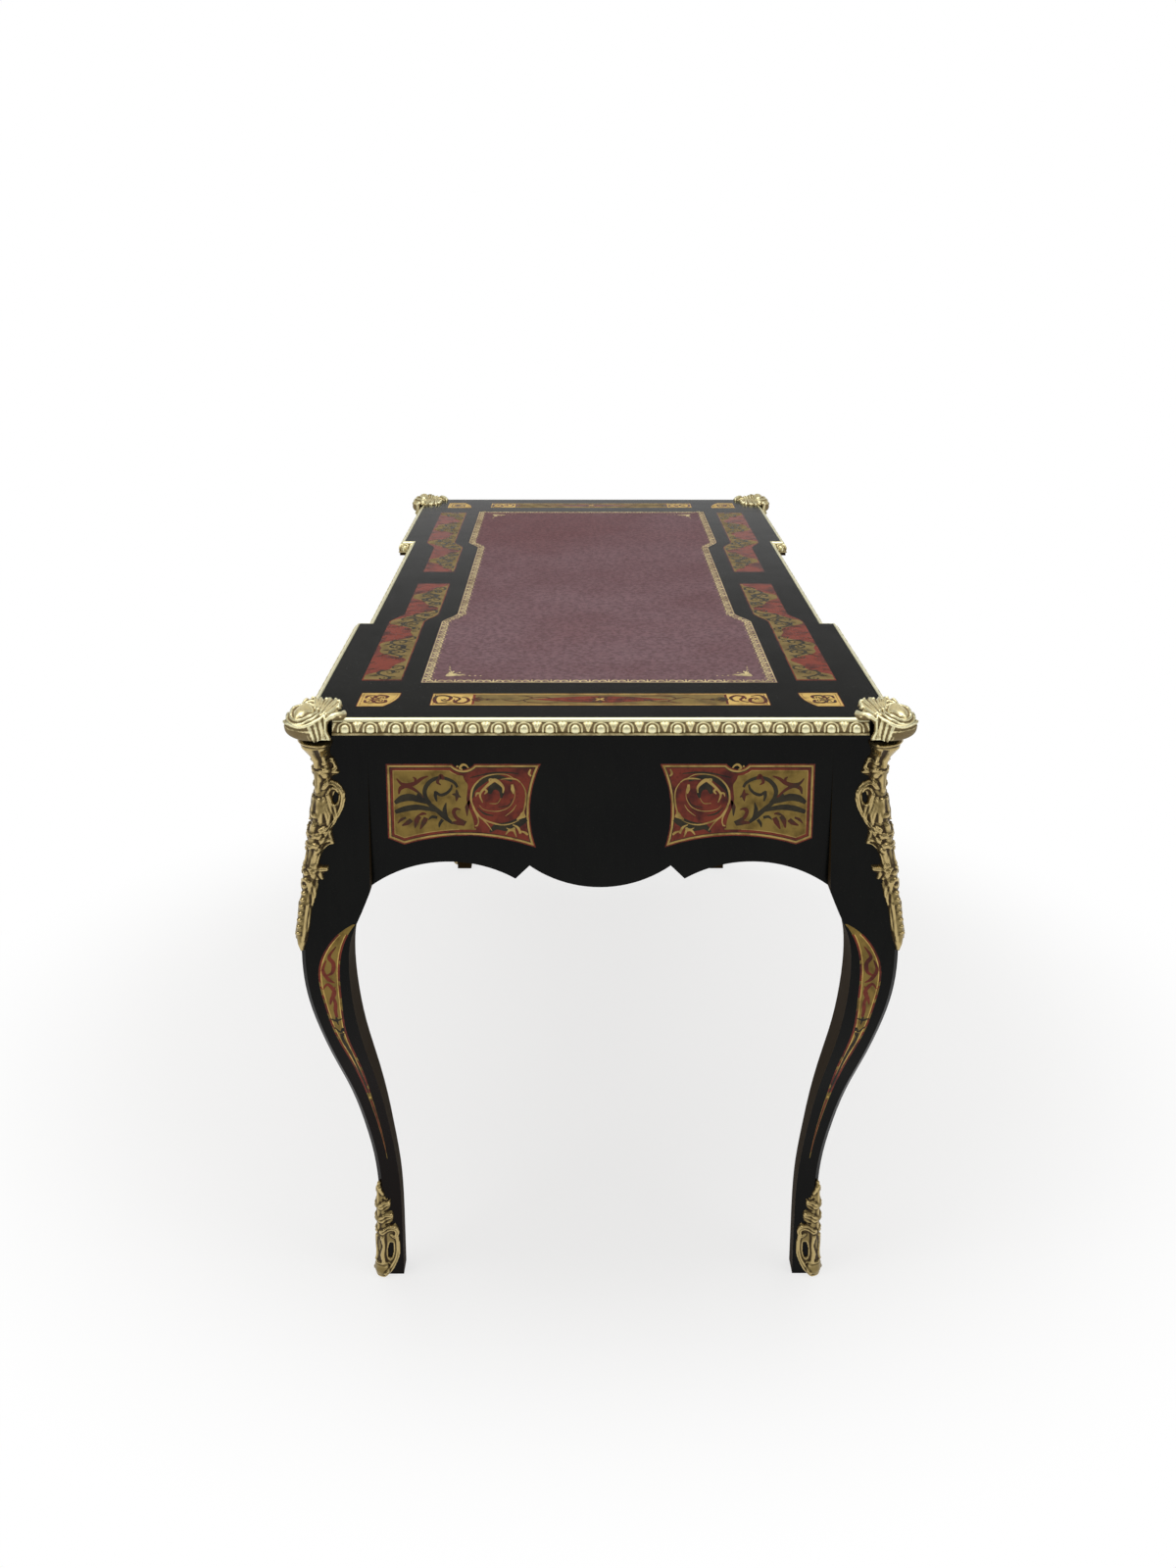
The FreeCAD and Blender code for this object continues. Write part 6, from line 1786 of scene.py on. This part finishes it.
def light_world(scene):
    """White surroundings that grow greyer upward where gloss reflects them, and a dim glow."""
    world = bpy.data.worlds.new("studio")
    scene.world = world
    world.use_nodes = True
    world.node_tree.nodes.clear()
    sky = Shading(world.node_tree)
    where = sky.node("ShaderNodeTexCoord", output="Generated")
    height = sky.node("ShaderNodeSeparateXYZ", None, {0: where}, 2)
    dim = 0.16
    shown = 1.0 - height.between(0.13, 0.18) * (1.0 - dim) + height.between(0.45, 0.8) * (0.6 - dim)
    seen = sky.seen()
    strength = seen * shown + (1.0 - seen) * 0.35
    colour = sky.mix(height.between(0.13, 0.25), (1.0, 1.0, 1.0), (1.0, 0.98, 0.93))
    light = sky.node("ShaderNodeBackground", None, {"Color": colour, "Strength": strength})
    sky.node("ShaderNodeOutputWorld", None, {"Surface": light}, None)


def lay_floor(scene):
    """A pale floor that keeps the desk's shadow and turns white away from it."""
    mesh = bpy.data.meshes.new("floor")
    corners = [(x * FLOOR_HALF, y * FLOOR_HALF, 0) for x, y in ((-1, -1), (1, -1), (1, 1), (-1, 1))]
    mesh.from_pydata(corners, [], [(0, 1, 2, 3)])
    floor = bpy.data.objects.new("floor", mesh)
    scene.collection.objects.link(floor)
    material = bpy.data.materials.new("pale_floor")
    material.use_nodes = True
    material.node_tree.nodes.clear()
    pale = Shading(material.node_tree)
    radius = pale.node("ShaderNodeVectorMath", {"operation": "LENGTH"}, {0: pale.place()}, "Value")
    share = pale.seen() * (0.70 + radius.between(0.65, 1.2) * 0.30)
    paint = pale.node("ShaderNodeBsdfDiffuse", None, {"Color": (0.93, 0.93, 0.93)})
    white = pale.node("ShaderNodeEmission", None, {"Strength": 1.0})
    mixed = pale.node("ShaderNodeMixShader", None, {0: share, 1: paint, 2: white})
    pale.node("ShaderNodeOutputMaterial", None, {"Surface": mixed}, None)
    mesh.materials.append(material)


def soft_lamp(scene, name, place, aim, size, power):
    light = bpy.data.lights.new(name, "AREA")
    light.size = size
    light.energy = power
    lamp = bpy.data.objects.new(name, light)
    scene.collection.objects.link(lamp)
    lamp.location = place
    lamp.rotation_euler = (Vector(aim) - Vector(place)).to_track_quat("-Z", "Y").to_euler()


def place_camera(scene):
    """Sets the camera at the photograph's viewing angle, looking along the desk."""
    data = bpy.data.cameras.new("view")
    data.sensor_width, data.lens = SENSOR, LENS
    data.shift_x, data.shift_y = SHIFT
    camera = bpy.data.objects.new("view", data)
    scene.collection.objects.link(camera)
    yaw, pitch, roll = (math.radians(a) for a in YAW_PITCH_ROLL)
    level = math.cos(pitch)
    look = Vector((-level * math.cos(yaw), level * math.sin(yaw), -math.sin(pitch)))
    right = look.cross(Z).normalized()
    up = right.cross(look)
    across = right * math.cos(roll) + up * math.sin(roll)
    above = up * math.cos(roll) - right * math.sin(roll)
    turned_axes = Matrix((across, above, -look)).transposed().to_4x4()
    camera.matrix_world = Matrix.Translation(CAMERA_PLACE) @ turned_axes
    scene.camera = camera


# Operators


def size_property(name, description, default):
    kind = {"unit": "LENGTH", "subtype": "DISTANCE", "precision": 5}
    return FloatProperty(name=name, description=description, default=default * MM, **kind)


class DeskSizes(bpy.types.PropertyGroup):
    """The sizes of the carved and cast work"""

    carving_pitch: size_property("Carving pitch", "Distance between the points that carve the mounts", 1.05)
    step_x: size_property("Step place", "How far from the middle the top steps in", 289)
    step_recess: size_property("Step depth", "How far the middle of the top steps in", 19)


def colour_property(name, description, default):
    return FloatVectorProperty(
        name=name, description=description, default=default, subtype="COLOR", size=3, min=0.0, max=1.0
    )


class DeskColours(bpy.types.PropertyGroup):
    """The colours of the desk's materials"""

    lacquer: colour_property("Lacquer", "The ebonised wood", (0.0020, 0.0023, 0.0021))
    gilt: colour_property("Gilt brass", "The moulding and corner mounts", (0.89, 0.78, 0.44))
    aged_gilt: colour_property("Aged gilt brass", "The mounts of the legs", (0.27, 0.205, 0.085))
    leather: colour_property("Leather", "The writing surface", (0.128, 0.046, 0.054))
    shell: colour_property("Shell", "The red tortoiseshell of the marquetry", (0.23, 0.036, 0.017))
    horn: colour_property("Horn", "The dark parts of the marquetry", (0.036, 0.028, 0.012))
    inlay: colour_property("Inlay brass", "The dull brass of the marquetry", (0.27, 0.18, 0.042))
    bright_inlay: colour_property("Bright brass", "The polished brass of the marquetry", (0.80, 0.54, 0.15))
    tooling: colour_property("Gold tooling", "The leather's gilt border", (0.86, 0.72, 0.36))
    oak: colour_property("Oak", "The plain wood inside", (0.40, 0.25, 0.13))
    steel: colour_property("Steel", "The screws", (0.42, 0.42, 0.43))


class DESK_OT_finishes(bpy.types.Operator):
    """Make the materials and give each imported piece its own"""

    bl_idname = "desk.finishes"
    bl_label = "Finishes"

    def execute(self, context):
        make_finishes(context.scene.desk_colours)
        for row in frame["record"]["subparts"]:
            mesh = frame["nodes"][row["node"]].data
            mesh.materials.clear()
            name = "inlay" if row["node"] == "leg_inlay_panels" else SLOT_FINISHES[row["material_slot"]]
            mesh.materials.append(FINISHES[name])
        return {"FINISHED"}


class DESK_OT_leg_mounts(bpy.types.Operator):
    """Cast the knee and foot mounts of the four legs"""

    bl_idname = "desk.leg_mounts"
    bl_label = "Leg mounts"

    def execute(self, context):
        pitch = context.scene.desk_sizes.carving_pitch / MM
        cast_leg_mount("knee", KNEE_BODY, KNEE_OUTLINE, knee_strokes(), KNEE_SPAN, pitch)
        cast_leg_mount("foot", FOOT_BODY, FOOT_OUTLINE, foot_strokes(), FOOT_SPAN, pitch)
        return {"FINISHED"}


class DESK_OT_corner_mounts(bpy.types.Operator):
    """Cast the mounts that wrap the corners of the top"""

    bl_idname = "desk.corner_mounts"
    bl_label = "Corner mounts"

    def execute(self, context):
        cast_corner_mounts(context.scene.desk_sizes.carving_pitch / MM)
        return {"FINISHED"}


class DESK_OT_edge_moulding(bpy.types.Operator):
    """Carve the egg and dart moulding round the top"""

    bl_idname = "desk.edge_moulding"
    bl_label = "Edge moulding"

    def execute(self, context):
        sizes = context.scene.desk_sizes
        carve_edge_mouldings(sizes.step_x, sizes.step_recess)
        return {"FINISHED"}


class DESK_OT_frieze_marquetry(bpy.types.Operator):
    """Lay the marquetry of the ends and the back"""

    bl_idname = "desk.frieze_marquetry"
    bl_label = "Frieze marquetry"

    def execute(self, context):
        dress_end_panel().settle("end_marquetry", QUARTERS)
        for name, face, middle, signs in (
            ("back_marquetry", PLANES["side_face"], LONG_PANELS["left"], BOTH_ENDS),
            ("back_centre_marquetry", PLANES["centre_face"], LONG_PANELS["centre"], AS_DRAWN),
        ):
            dress_long_panel("frieze_inlay_panels", face, Y, middle).settle(name, signs)
        return {"FINISHED"}


class DESK_OT_drawer_marquetry(bpy.types.Operator):
    """Lay the marquetry of the drawer fronts"""

    bl_idname = "desk.drawer_marquetry"
    bl_label = "Drawer marquetry"

    def execute(self, context):
        for side, middle in LONG_PANELS.items():
            drawer = side + "_drawer"
            face = -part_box(drawer + "_panel")[0].y
            work = dress_long_panel(drawer + "_panel", face, -Y, middle)
            work.settle(side + "_front_marquetry", AS_DRAWN, drawer)
        return {"FINISHED"}


class DESK_OT_leg_marquetry(bpy.types.Operator):
    """Lay the marquetry of the legs' outer faces"""

    bl_idname = "desk.leg_marquetry"
    bl_label = "Leg marquetry"

    def execute(self, context):
        for face in ("end", "side"):
            dress_leg_face(face).settle(f"leg_{face}_marquetry", QUARTERS)
        return {"FINISHED"}


class DESK_OT_top_marquetry(bpy.types.Operator):
    """Lay the marquetry of the top"""

    bl_idname = "desk.top_marquetry"
    bl_label = "Top marquetry"

    def execute(self, context):
        dress_top_side_panel().settle("top_side_marquetry", QUARTERS)
        dress_top_end_strip().settle("top_end_marquetry", BOTH_ENDS)
        dress_top_medallion().settle("top_corner_marquetry", QUARTERS)
        return {"FINISHED"}


class DESK_OT_leather_tooling(bpy.types.Operator):
    """Gild the border of the writing leather"""

    bl_idname = "desk.leather_tooling"
    bl_label = "Leather tooling"

    def execute(self, context):
        dress_leather().settle("leather_border", slot="desk_leather")
        return {"FINISHED"}


class DESK_OT_drawer_fittings(bpy.types.Operator):
    """Cast the rosettes, escutcheons and bail collars of the drawers"""

    bl_idname = "desk.drawer_fittings"
    bl_label = "Drawer fittings"

    def execute(self, context):
        for side in LONG_PANELS:
            dress_drawer(side)
        return {"FINISHED"}


class DESK_OT_stage(bpy.types.Operator):
    """Set the pale floor, the lamps, the world and the photograph's camera"""

    bl_idname = "desk.stage"
    bl_label = "Stage"

    def execute(self, context):
        scene = context.scene
        scene.view_settings.view_transform = "Standard"
        light_world(scene)
        lay_floor(scene)
        for lamp in LAMPS:
            soft_lamp(scene, *lamp)
        place_camera(scene)
        return {"FINISHED"}


class DESK_PT_panel(bpy.types.Panel):
    """The desk's sizes, colours and pieces"""

    bl_idname = "DESK_PT_panel"
    bl_label = "Desk"
    bl_space_type = "VIEW_3D"
    bl_region_type = "UI"
    bl_category = "Desk"

    def draw(self, context):
        for group in (context.scene.desk_sizes, context.scene.desk_colours):
            for key in group.__annotations__:
                self.layout.prop(group, key)
        for step in STEPS:
            self.layout.operator(step.bl_idname)


STEPS = (
    DESK_OT_finishes,
    DESK_OT_leg_mounts,
    DESK_OT_corner_mounts,
    DESK_OT_edge_moulding,
    DESK_OT_frieze_marquetry,
    DESK_OT_drawer_marquetry,
    DESK_OT_leg_marquetry,
    DESK_OT_top_marquetry,
    DESK_OT_leather_tooling,
    DESK_OT_drawer_fittings,
    DESK_OT_stage,
)
CLASSES = (DeskSizes, DeskColours, *STEPS, DESK_PT_panel)


def register():
    for cls in CLASSES:
        bpy.utils.register_class(cls)
    bpy.types.Scene.desk_sizes = PointerProperty(type=DeskSizes)
    bpy.types.Scene.desk_colours = PointerProperty(type=DeskColours)


def unregister():
    del bpy.types.Scene.desk_sizes
    del bpy.types.Scene.desk_colours
    for cls in reversed(CLASSES):
        bpy.utils.unregister_class(cls)


def main():
    """Builds the dressed desk, one operator after another."""
    register()
    for step in STEPS:
        group, name = step.bl_idname.split(".")
        getattr(getattr(bpy.ops, group), name)()


if __name__ == "__main__":
    main()
